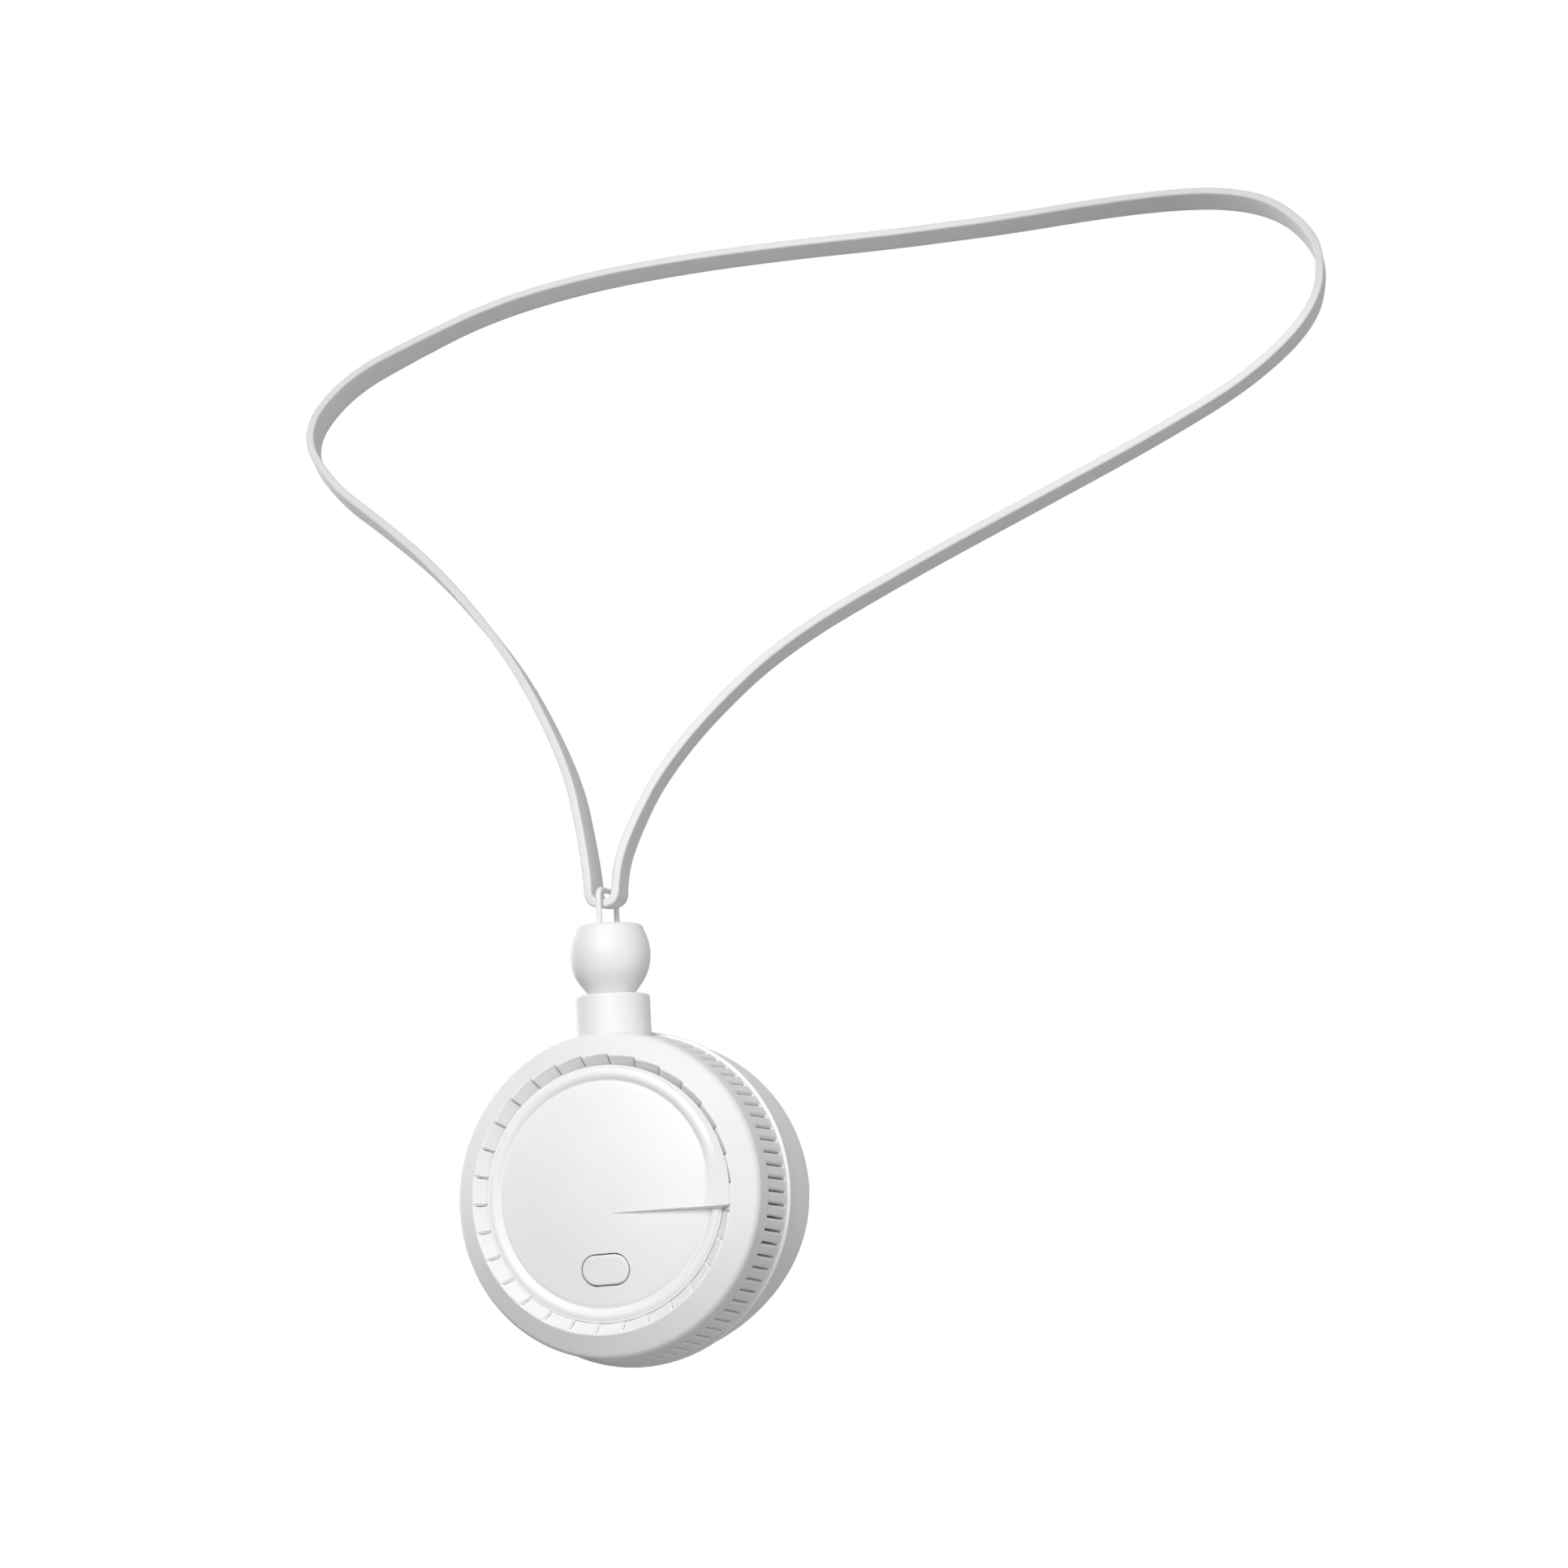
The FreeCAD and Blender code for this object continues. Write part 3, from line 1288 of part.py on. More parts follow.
board_blank = cylinder(
    size["board_radius"], size["board_thickness"], shifted(drum, 0, 0, size["board_front"]))
keep("circuit_board", without(board_blank, board_holes))
board_screw = screw(
    size["board_screw_head_radius"], size["board_screw_head"],
    size["board_screw_radius"], size["board_screw_length"], board_back)
keep("board_screws", computed(
    around(board_screw, screw_count, size["post_ring"].number, screw_start), drum))
keep("controller_chip", block(
    size["chip_side"], size["chip_side"], size["chip_thickness"], drum, size["chip_offset"], 0, board_back))

# Battery on a foam pad against the rear shell's floor, with two leads to the board

pad_front = size["rear_floor_depth"] - size["pad_thickness"]
battery_front = pad_front - size["battery_thickness"]
battery_blank = block(
    size["battery_length"], size["battery_height"], size["battery_thickness"],
    drum, 0, -size["battery_lift"], battery_front)
battery = document.addObject("Part::Fillet", "Battery")
battery.Base = battery_blank
document.recompute()
battery.Edges = [
    (index, size["battery_edge_round"].number, size["battery_edge_round"].number)
    for index, edge in enumerate(battery_blank.Shape.Edges, start=1)
    if abs(edge.tangentAt(edge.FirstParameter).x) < 0.5
    and abs(edge.Length - size["battery_thickness"].number) < size["battery_edge_round"].number]
keep("battery_cell", battery)
keep("battery_pad", block(
    size["battery_length"] - size["pad_margin"] * 2, size["battery_height"] - size["pad_margin"] * 2,
    size["pad_thickness"], drum, 0, -size["battery_lift"], pad_front))

battery_foot = size["battery_height"] / 2 - size["battery_lift"]
wire_depth = battery_front + size["battery_thickness"] / 2
wire_end = wire_depth - size["wire_run"]


def bent_wire(across):
    """A wire that leaves the battery's lower edge and bends down to the board."""
    foot = battery_foot.number
    run = size["wire_run"].number
    depth = wire_depth.number
    start = FreeCAD.Vector(across, foot, depth)
    middle_angle = math.pi / 4
    bend = FreeCAD.Vector(
        across, foot + run * math.sin(middle_angle), wire_end.number + run * math.cos(middle_angle))
    turn_end = FreeCAD.Vector(across, foot + run, wire_end.number)
    finish = FreeCAD.Vector(across, foot + run, board_back.number)
    arc = Part.Arc(start, bend, turn_end).toShape()
    drop = Part.LineSegment(turn_end, finish).toShape()
    ring = Part.makeCircle(size["wire_radius"].number, start, FreeCAD.Vector(0, 1, 0))
    return Part.Wire([arc, drop]).makePipeShell([Part.Wire([ring])], True, False)


spread = size["wire_spread"].number
keep("battery_leads", computed(Part.makeCompound([bent_wire(-spread), bent_wire(spread)]), drum))

# Ribbon: from the back of the switch board out to the rim, along it, and in to the main board

ribbon_front = switch_board_back
ribbon_half = size["ribbon_thickness"] / 2
ribbon_inner = size["button_drop"] + size["switch_board_width"] / 2 - size["ribbon_width"] / 2
front_run = size["ribbon_radius"] + ribbon_half - ribbon_inner
ribbon_out = block(
    size["ribbon_width"], front_run, size["ribbon_thickness"],
    drum, 0, ribbon_inner + front_run / 2, ribbon_front)
ribbon_along = block(
    size["ribbon_width"], size["ribbon_thickness"], size["board_front"] - ribbon_front,
    drum, 0, size["ribbon_radius"], ribbon_front)
rear_inner = size["board_radius"] - size["ribbon_width"] / 2
rear_run = size["ribbon_radius"] + ribbon_half - rear_inner
ribbon_in = block(
    size["ribbon_width"], rear_run, size["ribbon_thickness"],
    drum, 0, rear_inner + rear_run / 2, size["board_front"] - size["ribbon_thickness"])
keep("switch_ribbon", joined([ribbon_out, ribbon_along, ribbon_in]))

# Check every object, then write one file per piece

document.recompute()
for thing in document.Objects:
    if "Invalid" in thing.State or "Error" in thing.State:
        raise ValueError("object in error: " + thing.Label)
for label, thing in finished.items():
    shape = thing.Shape
    if shape.isNull() or not shape.isValid():
        raise ValueError("bad shape: " + label)
    shape.exportStep("parts/" + label + ".step")
    box = shape.BoundBox
    print(label, len(shape.Solids), "solids", round(shape.Volume, 1), "mm3",
          [round(value, 1) for value in (box.XMin, box.XMax, box.YMin, box.YMax, box.ZMin, box.ZMax)])
print(len(finished), "pieces")
print("strap bend", tuple(bail_place), "drum axis", [round(value, 3) for value in drum.Base])
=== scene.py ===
# %% [markdown]
# # Electric neck fan
#
# A drum-shaped fan the size of a pocket watch hangs from a flat silicone strap. A wire
# bail hooks the strap, a bead turns on a pin, and a collar holds the drum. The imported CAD
# model is loaded first and stays the frame for everything: each finer piece is made where
# its CAD node is, in metres, with +Z up and the front of the drum looking towards -Y.

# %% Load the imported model
import math

import bmesh
import bpy
from mathutils import Matrix, Vector


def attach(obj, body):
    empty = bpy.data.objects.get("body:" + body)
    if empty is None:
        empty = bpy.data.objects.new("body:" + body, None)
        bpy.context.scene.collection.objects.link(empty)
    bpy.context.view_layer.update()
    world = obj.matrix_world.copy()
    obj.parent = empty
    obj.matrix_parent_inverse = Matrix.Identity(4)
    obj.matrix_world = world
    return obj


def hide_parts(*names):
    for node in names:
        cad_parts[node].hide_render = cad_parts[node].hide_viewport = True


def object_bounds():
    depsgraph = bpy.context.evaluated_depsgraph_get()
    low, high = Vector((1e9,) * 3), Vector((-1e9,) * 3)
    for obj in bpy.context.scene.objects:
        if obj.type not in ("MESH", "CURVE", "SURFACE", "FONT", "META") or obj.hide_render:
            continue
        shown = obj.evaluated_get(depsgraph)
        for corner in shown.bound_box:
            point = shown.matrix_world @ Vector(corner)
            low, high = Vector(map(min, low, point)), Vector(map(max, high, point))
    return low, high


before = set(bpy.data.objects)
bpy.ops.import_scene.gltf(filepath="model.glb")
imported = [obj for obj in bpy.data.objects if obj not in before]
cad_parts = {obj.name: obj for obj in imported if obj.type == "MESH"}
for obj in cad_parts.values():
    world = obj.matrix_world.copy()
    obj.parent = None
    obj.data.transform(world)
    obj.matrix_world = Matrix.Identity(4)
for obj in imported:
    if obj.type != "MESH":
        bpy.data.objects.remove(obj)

cad_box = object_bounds()
scene = bpy.context.scene
mm = 0.001
cad_size = [round(side, 4) for side in cad_box[1] - cad_box[0]]
print("nodes", len(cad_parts), "CAD box", cad_size)

# %% [markdown]
# ## Camera
#
# The view is a long-lens one from below and a little to the right. A camera could be aimed
# with a tracking constraint, but its tilt would then be lost, so the three axes of the
# camera are written out: yaw, pitch, then roll about the line of sight. A point just in
# front of the strap's bend, and where it is seen in the picture, fix where the camera stands.

# %% Make the camera
picture_side = 1932
focal_pixels = 10000.0
yaw, pitch, roll = 21.55, -7.90, -3.0
stand_off = 1.6
hook_height = -172.0
aim = Vector((0.0, -216.0, hook_height)) * mm
aim_pixel = (745.0, 1113.0)


def direction(azimuth, elevation):
    """A way out from the object, in degrees round from its front and up."""
    turn, rise = math.radians(azimuth), math.radians(elevation)
    return Vector((
        math.sin(turn) * math.cos(rise), -math.cos(turn) * math.cos(rise), math.sin(rise)))


backwards = direction(yaw, pitch)
level = direction(yaw + 90.0, 0.0)
upright = backwards.cross(level)
tilt = math.radians(roll)
right = level * math.cos(tilt) + upright * math.sin(tilt)
upward = upright * math.cos(tilt) - level * math.sin(tilt)
middle = picture_side / 2
sideways, upwards = aim_pixel[0] - middle, middle - aim_pixel[1]
ray = right * sideways + upward * upwards - backwards * focal_pixels
ray.normalize()
stand = aim - ray * (stand_off / ray.dot(-backwards))

camera_data = bpy.data.cameras.new("camera")
camera_data.sensor_width = 36.0
camera_data.lens = camera_data.sensor_width * focal_pixels / picture_side
camera_data.clip_end = 50.0
camera = bpy.data.objects.new("camera", camera_data)
camera.matrix_world = Matrix((right, upward, backwards)).transposed().to_4x4()
camera.location = stand
scene.collection.objects.link(camera)
scene.camera = camera
print("camera at", [round(value, 3) for value in stand], "lens", round(camera_data.lens, 1))

# %% [markdown]
# ## Neck strap
#
# The strap is one flat loop of soft silicone, 6.3 mm wide, hooked under the bail. Bevelling
# a curve would give it a section, but the flat side would turn as it likes. So the smooth
# line is read from a NURBS spline through the strap's route, and a rounded section is
# carried along it, starting with its flat side square to the bail. A soft band also rolls as
# it lies, so a few marks give its roll: the right branch leans its edge to the front, and
# on the nape the inner face looks down.

# %% The strap's line
half_route = [
    (0.0, -214.6, -172.0), (1.5, -214.6, -172.0), (2.7, -214.6, -170.8), (2.8, -214.5, -168.4),
    (3.5, -213.8, -163.3), (5.5, -211.2, -156.5), (9.2, -206.2, -146.5), (17.0, -198.0, -134.0),
    (29.0, -185.0, -119.2), (48.0, -161.0, -102.9), (69.0, -136.0, -86.7), (88.0, -118.0, -73.4),
    (105.0, -106.0, -61.5), (116.0, -96.0, -48.0), (113.0, -79.5, -33.5), (104.0, -61.0, -23.0),
    (92.0, -45.0, -13.3), (76.0, -29.0, -6.3), (58.0, -16.0, -2.2), (37.0, -5.5, 0.2),
    (13.5, 0.95, 0.95), (0.0, 0.95, 0.95),
]
route = half_route + [(-x, y, z) for x, y, z in reversed(half_route[:-1])]

strap_curve = bpy.data.curves.new("strap_line", "CURVE")
strap_curve.dimensions = "3D"
strap_curve.resolution_u = 24
spline = strap_curve.splines.new("NURBS")
spline.points.add(len(route) - 1)
for point, place in zip(spline.points, route):
    point.co = (*(Vector(place) * mm), 1.0)
spline.order_u = 3
spline.use_endpoint_u = True
guide = bpy.data.objects.new("strap_line", strap_curve)
scene.collection.objects.link(guide)
bpy.context.view_layer.update()
graph = bpy.context.evaluated_depsgraph_get()
line_mesh = bpy.data.meshes.new_from_object(guide.evaluated_get(graph))
strap_line = [vertex.co.copy() for vertex in line_mesh.vertices]
bpy.data.objects.remove(guide)
strap_steps = zip(strap_line, strap_line[1:])
strap_length = sum((after - before).length for before, after in strap_steps)
print("strap line", len(strap_line), "points", round(strap_length, 4), "m")

# %% The strap's band
strap_width, strap_thickness, strap_round = 6.3 * mm, 1.7 * mm, 0.45 * mm
strap_rolls = [
    (0.0, 0.0), (0.04, 15.0), (0.12, 21.0), (0.26, 21.0), (0.33, -20.0),
    (0.43, -50.0), (0.57, -52.0), (0.67, -41.0), (0.75, -1.0), (1.0, 0.0),
]
roll_easing, easing_steps = 0.025, 5
corner_steps, side_parts = 4, 5
weld_gap, sliver_gap, seam_gap = 1e-7, 1e-8, 2e-7
sharp_angle, strap_sharp_angle, wire_sharp_angle, pill_sharp_angle = 35.0, 60.0, 50.0, 30.0


def rounded_section(width, height, radius, steps, spread):
    """Points of a rounded oblong, counter-clockwise, with some along its straight sides."""
    arcs = []
    for corner in range(4):
        across = (width / 2 - radius) * (1 if corner in (0, 3) else -1)
        along = (height / 2 - radius) * (1 if corner < 2 else -1)
        angles = [math.pi / 2 * (corner + step / steps) for step in range(steps + 1)]
        arcs.append([
            Vector((across + radius * math.cos(angle), along + radius * math.sin(angle)))
            for angle in angles])
    points = []
    for here, after in zip(arcs, arcs[1:] + arcs[:1]):
        points += here
        points += [here[-1].lerp(after[0], part / spread) for part in range(1, spread)]
    return points


def piece_of(name, points, faces, smooth_angle=sharp_angle):
    """A new object from points in metres and faces, smooth except at its sharp edges."""
    mesh = bpy.data.meshes.new(name)
    mesh.from_pydata(points, [], faces)
    finish_mesh(mesh, smooth_angle)
    thing = bpy.data.objects.new(name, mesh)
    scene.collection.objects.link(thing)
    return thing


def finish_mesh(mesh, smooth_angle=sharp_angle):
    """Merges doubles, turns the faces outwards and marks the sharp edges."""
    work = bmesh.new()
    work.from_mesh(mesh)
    bmesh.ops.remove_doubles(work, verts=work.verts, dist=weld_gap)
    bmesh.ops.dissolve_degenerate(work, edges=work.edges, dist=sliver_gap)
    bmesh.ops.recalc_face_normals(work, faces=work.faces)
    work.to_mesh(mesh)
    work.free()
    mesh.shade_smooth()
    mesh.set_sharp_from_angle(angle=math.radians(smooth_angle))


def tube_faces(rings, sides, closed):
    """Quads between neighbouring rings of a tube."""
    faces = []
    for ring in range(rings if closed else rings - 1):
        first, second = ring * sides, (ring + 1) % rings * sides
        for side in range(sides):
            other = (side + 1) % sides
            faces.append((first + side, first + other, second + other, second + side))
    return faces


def end_faces(rings, sides):
    """The two faces that close the ends of a tube."""
    return [tuple(range(sides)), tuple(range((rings - 1) * sides, rings * sides))]


def sheet_faces(columns, rows):
    """Quads of an open sheet whose last column meets its first."""
    faces = []
    for column in range(columns):
        first, second = column * rows, (column + 1) % columns * rows
        for row in range(rows - 1):
            faces.append((first + row, first + row + 1, second + row + 1, second + row))
    return faces


def carried_frames(line, wide):
    """Tangent and wide direction at each point, carried along without twisting."""
    frames = []
    previous = None
    for index in range(len(line)):
        before = line[index - 1] if index else line[0]
        after = line[index + 1] if index + 1 < len(line) else line[-1]
        tangent = (after - before).normalized()
        if previous is not None:
            wide = previous.rotation_difference(tangent) @ wide
        wide = (wide - tangent * wide.dot(tangent)).normalized()
        frames.append((tangent, wide))
        previous = tangent
    return frames


def roll_at(share):
    """Roll in degrees between two marks, at a share of the loop."""
    for (before, low), (after, high) in zip(strap_rolls, strap_rolls[1:]):
        if before <= share <= after:
            return low + (high - low) * (share - before) / (after - before)


def eased_roll(share):
    """The roll in radians, averaged over a short way so that the band has no kinks."""
    steps = range(-easing_steps, easing_steps + 1)
    rolls = [roll_at((share + roll_easing * step / easing_steps) % 1.0) for step in steps]
    return math.radians(sum(rolls) / len(rolls))


section = rounded_section(strap_width, strap_thickness, strap_round, corner_steps, side_parts)
strap_points = []
frames = carried_frames(strap_line, Vector((0.0, 1.0, 0.0)))
travelled = 0.0
for index, (place, (tangent, wide)) in enumerate(list(zip(strap_line, frames))[:-1]):
    travelled += (place - strap_line[index - 1]).length if index else 0.0
    wide = Matrix.Rotation(eased_roll(travelled / strap_length), 3, tangent) @ wide
    thick = tangent.cross(wide)
    strap_points += [place + wide * across + thick * along for across, along in section]
strap_faces = tube_faces(len(strap_line) - 1, len(section), True)
neck_strap = piece_of("neck_strap_band", strap_points, strap_faces, strap_sharp_angle)
end_turn = math.degrees(frames[0][1].angle(frames[-1][1]))
print("strap band", len(neck_strap.data.polygons), "faces, twist at the join", round(end_turn, 2))

# %% [markdown]
# ## Sums of sockets
#
# Long chains of Math nodes are hard to read, so one small class wraps a socket and turns
# Python's operators into Math nodes. It serves the shaders and the Geometry Nodes trees
# alike. Every other node is added by one method, which sets the node's own settings first
# and then its sockets, each with a value or a wire.

# %% Wires and boards


class Wire:
    """One output of a node; sums of wires and numbers add the Math nodes they need."""

    def __init__(self, socket):
        self.socket = socket

    def other(self, name):
        return Wire(self.socket.node.outputs[name])

    def math(self, operation, *terms):
        return Board(self.socket.id_data).node(
            "ShaderNodeMath", {"operation": operation}, dict(enumerate(terms)))

    def __add__(self, other):
        return self.math("ADD", self, other)

    def __radd__(self, other):
        return self.math("ADD", other, self)

    def __sub__(self, other):
        return self.math("SUBTRACT", self, other)

    def __rsub__(self, other):
        return self.math("SUBTRACT", other, self)

    def __mul__(self, other):
        return self.math("MULTIPLY", self, other)

    def __rmul__(self, other):
        return self.math("MULTIPLY", other, self)

    def __truediv__(self, other):
        return self.math("DIVIDE", self, other)

    def __pow__(self, other):
        return self.math("POWER", self, other)

    def root(self):
        return self.math("SQRT", self)

    def sine(self):
        return self.math("SINE", self)

    def cosine(self):
        return self.math("COSINE", self)

    def at_least(self, other):
        return self.math("MAXIMUM", self, other)

    def at_most(self, other):
        return self.math("MINIMUM", self, other)

    def clamped(self):
        return self.at_least(0.0).at_most(1.0)


class Board:
    """A node tree that is being wired up."""

    def __init__(self, tree):
        self.tree = tree

    def node(self, kind, settings=None, values=None, output=0):
        made = self.tree.nodes.new(kind)
        for name, setting in (settings or {}).items():
            setattr(made, name, setting)
        for key, value in (values or {}).items():
            if isinstance(value, Wire):
                self.tree.links.new(value.socket, made.inputs[key])
            else:
                made.inputs[key].default_value = value
        return Wire(made.outputs[output]) if len(made.outputs) else made


print("operators ready")

# %% [markdown]
# ## Finishes
#
# The outside is all one white: satin moulded plastic on the drum, and silicone of the same
# white on the strap. Real mouldings are never one flat colour. They have a fine
# spark-eroded grain, faint flow clouds, and a gloss that changes a little with the tool's
# polish. Each finish is built from noise on Object coordinates, so that it stays put on
# the piece, and feeds only colour, roughness and bump.

# %% A finish from two colours, clouds and grain
finishes = {}
cloud_contrast, speck_contrast, cloud_gloss, relief_depth = 1.6, 0.3, 0.6, 0.0002
mix_share, mix_first, mix_second, mix_colour = 0, 6, 7, 2


def grey(value):
    return (value, value, value)


def finish(name, dark, light, rough, metal=0.0, clouds=60.0, grain=1800.0, bump=0.05,
           stretch=(1.0, 1.0, 1.0), coat=0.0, through=0.0):
    """A material whose colour and gloss drift with clouds and whose surface has a grain."""
    material = bpy.data.materials.new(name)
    material.use_nodes = True
    board = Board(material.node_tree)
    shader = material.node_tree.nodes["Principled BSDF"]
    place = board.node("ShaderNodeTexCoord", output="Object")
    place = board.node("ShaderNodeMapping", {}, {"Vector": place, "Scale": stretch})
    cloud = board.node("ShaderNodeTexNoise", {}, {
        "Vector": place, "Scale": clouds, "Detail": 3.0, "Roughness": 0.55})
    speck = board.node("ShaderNodeTexNoise", {}, {
        "Vector": place, "Scale": grain, "Detail": 2.0, "Roughness": 0.6})
    mask = ((cloud - 0.5) * cloud_contrast + 0.5 + (speck - 0.5) * speck_contrast).clamped()
    mix = {mix_share: mask, mix_first: (*dark, 1.0), mix_second: (*light, 1.0)}
    colour = board.node("ShaderNodeMix", {"data_type": "RGBA"}, mix, mix_colour)
    drift = cloud * cloud_gloss + speck * (1 - cloud_gloss)
    gloss = rough[0] + (rough[1] - rough[0]) * drift
    relief = board.node("ShaderNodeBump", {}, {
        "Strength": bump, "Distance": relief_depth, "Height": speck})
    for socket, wire in (("Base Color", colour), ("Roughness", gloss), ("Normal", relief)):
        material.node_tree.links.new(wire.socket, shader.inputs[socket])
    shader.inputs["Metallic"].default_value = metal
    shader.inputs["Coat Weight"].default_value = coat
    shader.inputs["Transmission Weight"].default_value = through
    finishes[name] = material
    return material


finish("white_plastic", grey(0.80), grey(0.84), (0.40, 0.55), clouds=45.0, grain=2600.0)
finish("strap_silicone", grey(0.75), grey(0.79), (0.55, 0.68), grain=1200.0, bump=0.002)
finish("bail_nylon", grey(0.78), grey(0.84), (0.35, 0.50), clouds=120.0, grain=2600.0, bump=0.04)
finish("inner_plastic", grey(0.70), grey(0.77), (0.45, 0.60), clouds=80.0, grain=2200.0)
print("finishes", len(finishes))

# %% [markdown]
# ## Finishes of the inner parts
#
# Inside the drum are a motor, boards, a battery and screws, which show only through the
# slots. They keep their CAD shapes, and each material slot of the record gets a finish of
# its own kind: turned steel with fine rings of grain, enamelled copper, green board, foil.

# %% Inner finishes
finish("steel", (0.50, 0.51, 0.53), (0.66, 0.67, 0.69), (0.22, 0.38), metal=1.0, grain=2400.0,
       stretch=(1.0, 0.12, 1.0), bump=0.08)
finish("core_iron", (0.16, 0.16, 0.17), (0.27, 0.27, 0.28), (0.40, 0.58), metal=0.9,
       stretch=(1.0, 9.0, 1.0))
finish("bronze", (0.42, 0.28, 0.13), (0.55, 0.38, 0.18), (0.35, 0.52), metal=1.0, grain=3200.0,
       bump=0.12)
finish("copper", (0.50, 0.20, 0.08), (0.72, 0.32, 0.14), (0.25, 0.40), metal=1.0, grain=2600.0,
       stretch=(0.2, 3.0, 0.2), coat=0.4, bump=0.15)
finish("board", (0.015, 0.10, 0.045), (0.03, 0.17, 0.075), (0.32, 0.48), clouds=260.0,
       grain=1400.0, coat=0.3)
finish("black_plastic", grey(0.012), grey(0.03), (0.45, 0.62), grain=2600.0, bump=0.08)
finish("cell_foil", (0.55, 0.56, 0.58), (0.68, 0.69, 0.71), (0.28, 0.50), metal=0.9,
       clouds=150.0, grain=700.0, bump=0.2)
finish("foam", grey(0.05), grey(0.10), (0.85, 0.97), clouds=400.0, grain=1500.0, bump=0.6)
finish("wire_skin", (0.30, 0.015, 0.012), (0.42, 0.03, 0.02), (0.40, 0.55), grain=2000.0)
finish("ribbon_film", (0.33, 0.17, 0.03), (0.45, 0.25, 0.06), (0.25, 0.42), clouds=90.0,
       grain=900.0, stretch=(12.0, 0.4, 0.4), coat=0.3)
finish("clear_plastic", grey(0.86), grey(0.92), (0.10, 0.20), through=0.6, grain=2600.0, bump=0.02)

used = set()
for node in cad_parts.values():
    slot = node.data.materials[0].name.split(".")[0] if node.data.materials else ""
    chosen = finishes.get(slot, finishes["inner_plastic"])
    node.data.materials.clear()
    node.data.materials.append(chosen)
    used.add(chosen.name)
print("finishes in use", sorted(used))

# %% [markdown]
# ## Geometry Nodes recipes
#
# Two rules shape the drum. Louvres and vent ribs are one small mesh copied round the axis,
# and the front cover climbs in one turn round an off-centre pole. Each rule becomes a node
# tree with named sizes. A tree runs once as a modifier, its result is kept as a plain mesh,
# and the modifier goes.

# %% Making and running a recipe
drum_front, drum_height = -225.0, -230.1
drum_centre = Vector((0.0, drum_front, drum_height)) * mm


def recipe(name, sizes):
    """A new tree with a geometry, named sizes and a material going in and a geometry out."""
    tree = bpy.data.node_groups.new(name, "GeometryNodeTree")
    tree.interface.new_socket("Geometry", in_out="INPUT", socket_type="NodeSocketGeometry")
    for label, kind in sizes.items():
        tree.interface.new_socket(label, in_out="INPUT", socket_type="NodeSocket" + kind)
    tree.interface.new_socket("Finish", in_out="INPUT", socket_type="NodeSocketMaterial")
    tree.interface.new_socket("Geometry", in_out="OUTPUT", socket_type="NodeSocketGeometry")
    board = Board(tree)
    return board, board.node("NodeGroupInput")


def close_recipe(board, sizes, shape):
    """Ends a tree: real geometry, merged seams, and the finish set."""
    shape = board.node("GeometryNodeRealizeInstances", {}, {"Geometry": shape})
    shape = board.node("GeometryNodeMergeByDistance", {}, {"Geometry": shape, "Distance": seam_gap})
    shape = board.node("GeometryNodeSetMaterial", {}, {
        "Geometry": shape, "Material": sizes.other("Finish")})
    board.node("NodeGroupOutput", {}, {"Geometry": shape})
    return board.tree


def keep_result(thing):
    """Makes what an object's modifier gives its plain mesh, and drops the modifier."""
    bpy.context.view_layer.update()
    graph = bpy.context.evaluated_depsgraph_get()
    made = bpy.data.meshes.new_from_object(thing.evaluated_get(graph))
    thing.modifiers.clear()
    thing.data = made
    finish_mesh(made)


def run_recipe(thing, tree, sizes):
    """Runs a tree on an object and keeps the result as its plain mesh."""
    modifier = thing.modifiers.new(tree.name, "NODES")
    modifier.node_group = tree
    for item in tree.interface.items_tree:
        if item.in_out == "INPUT" and item.name in sizes:
            modifier[item.identifier] = sizes[item.name]
    thing.update_tag()
    keep_result(thing)


board, sizes = recipe("copies_round_axis", {"Count": "Int", "Centre": "Vector"})
points = board.node("GeometryNodeMeshLine", {}, {
    "Count": sizes.other("Count"), "Offset": (0.0, 0.0, 0.0)})
index = board.node("GeometryNodeInputIndex")
angle = index * (2 * math.pi) / sizes.other("Count")
turn = board.node("ShaderNodeCombineXYZ", {}, {"Y": angle})
copies = board.node("GeometryNodeInstanceOnPoints", {}, {
    "Points": points, "Instance": sizes.other("Geometry"), "Rotation": turn})
moved = board.node("GeometryNodeTransform", {}, {
    "Geometry": copies, "Translation": sizes.other("Centre")})
copies_round_axis = close_recipe(board, sizes, moved)
print("tree", copies_round_axis.name, len(copies_round_axis.nodes), "nodes")

# %% [markdown]
# ## Spiral plate tree
#
# The front cover is a low dome. Its surface also lifts in one clockwise turn round a pole
# below the middle until it reaches the crest of the bezel, and drops back in a straight
# step. A strip of rows and columns carries the numbers: how far round (turn), how far out
# (share of the way to a ring), and which level. The tree rolls the strip round the pole and
# lifts it.

# %% The spiral plate tree
spiral_sizes = dict.fromkeys([
    "Pole X", "Pole Z", "Step Angle", "Direction", "Step Share", "Power", "Rise", "Rim", "Flare",
    "Bead Radius", "Bead Half Width", "Bead Height", "Seam Radius", "Seam Half Width", "Seam Depth",
    "Fade End", "Fade Width", "Dome", "Ball"], "Float")
spiral_sizes["Centre"] = "Vector"
fall_power, reach_power = 1.4, 0.75
board, sizes = recipe("spiral_plate", spiral_sizes)
size = sizes.other


def strip_value(name):
    return board.node("GeometryNodeInputNamedAttribute", {"data_type": "FLOAT"}, {"Name": name})


def ring_distance(ring, along, pole_square):
    """From the pole to a ring round the axis, along one way."""
    return (along * along + ring * ring - pole_square).root() - along


def hump(radius, middle, half_width):
    """1 in the middle of a band, falling to 0 at its edges."""
    part = (radius - middle) / half_width
    return (1.0 - part * part).at_least(0.0)


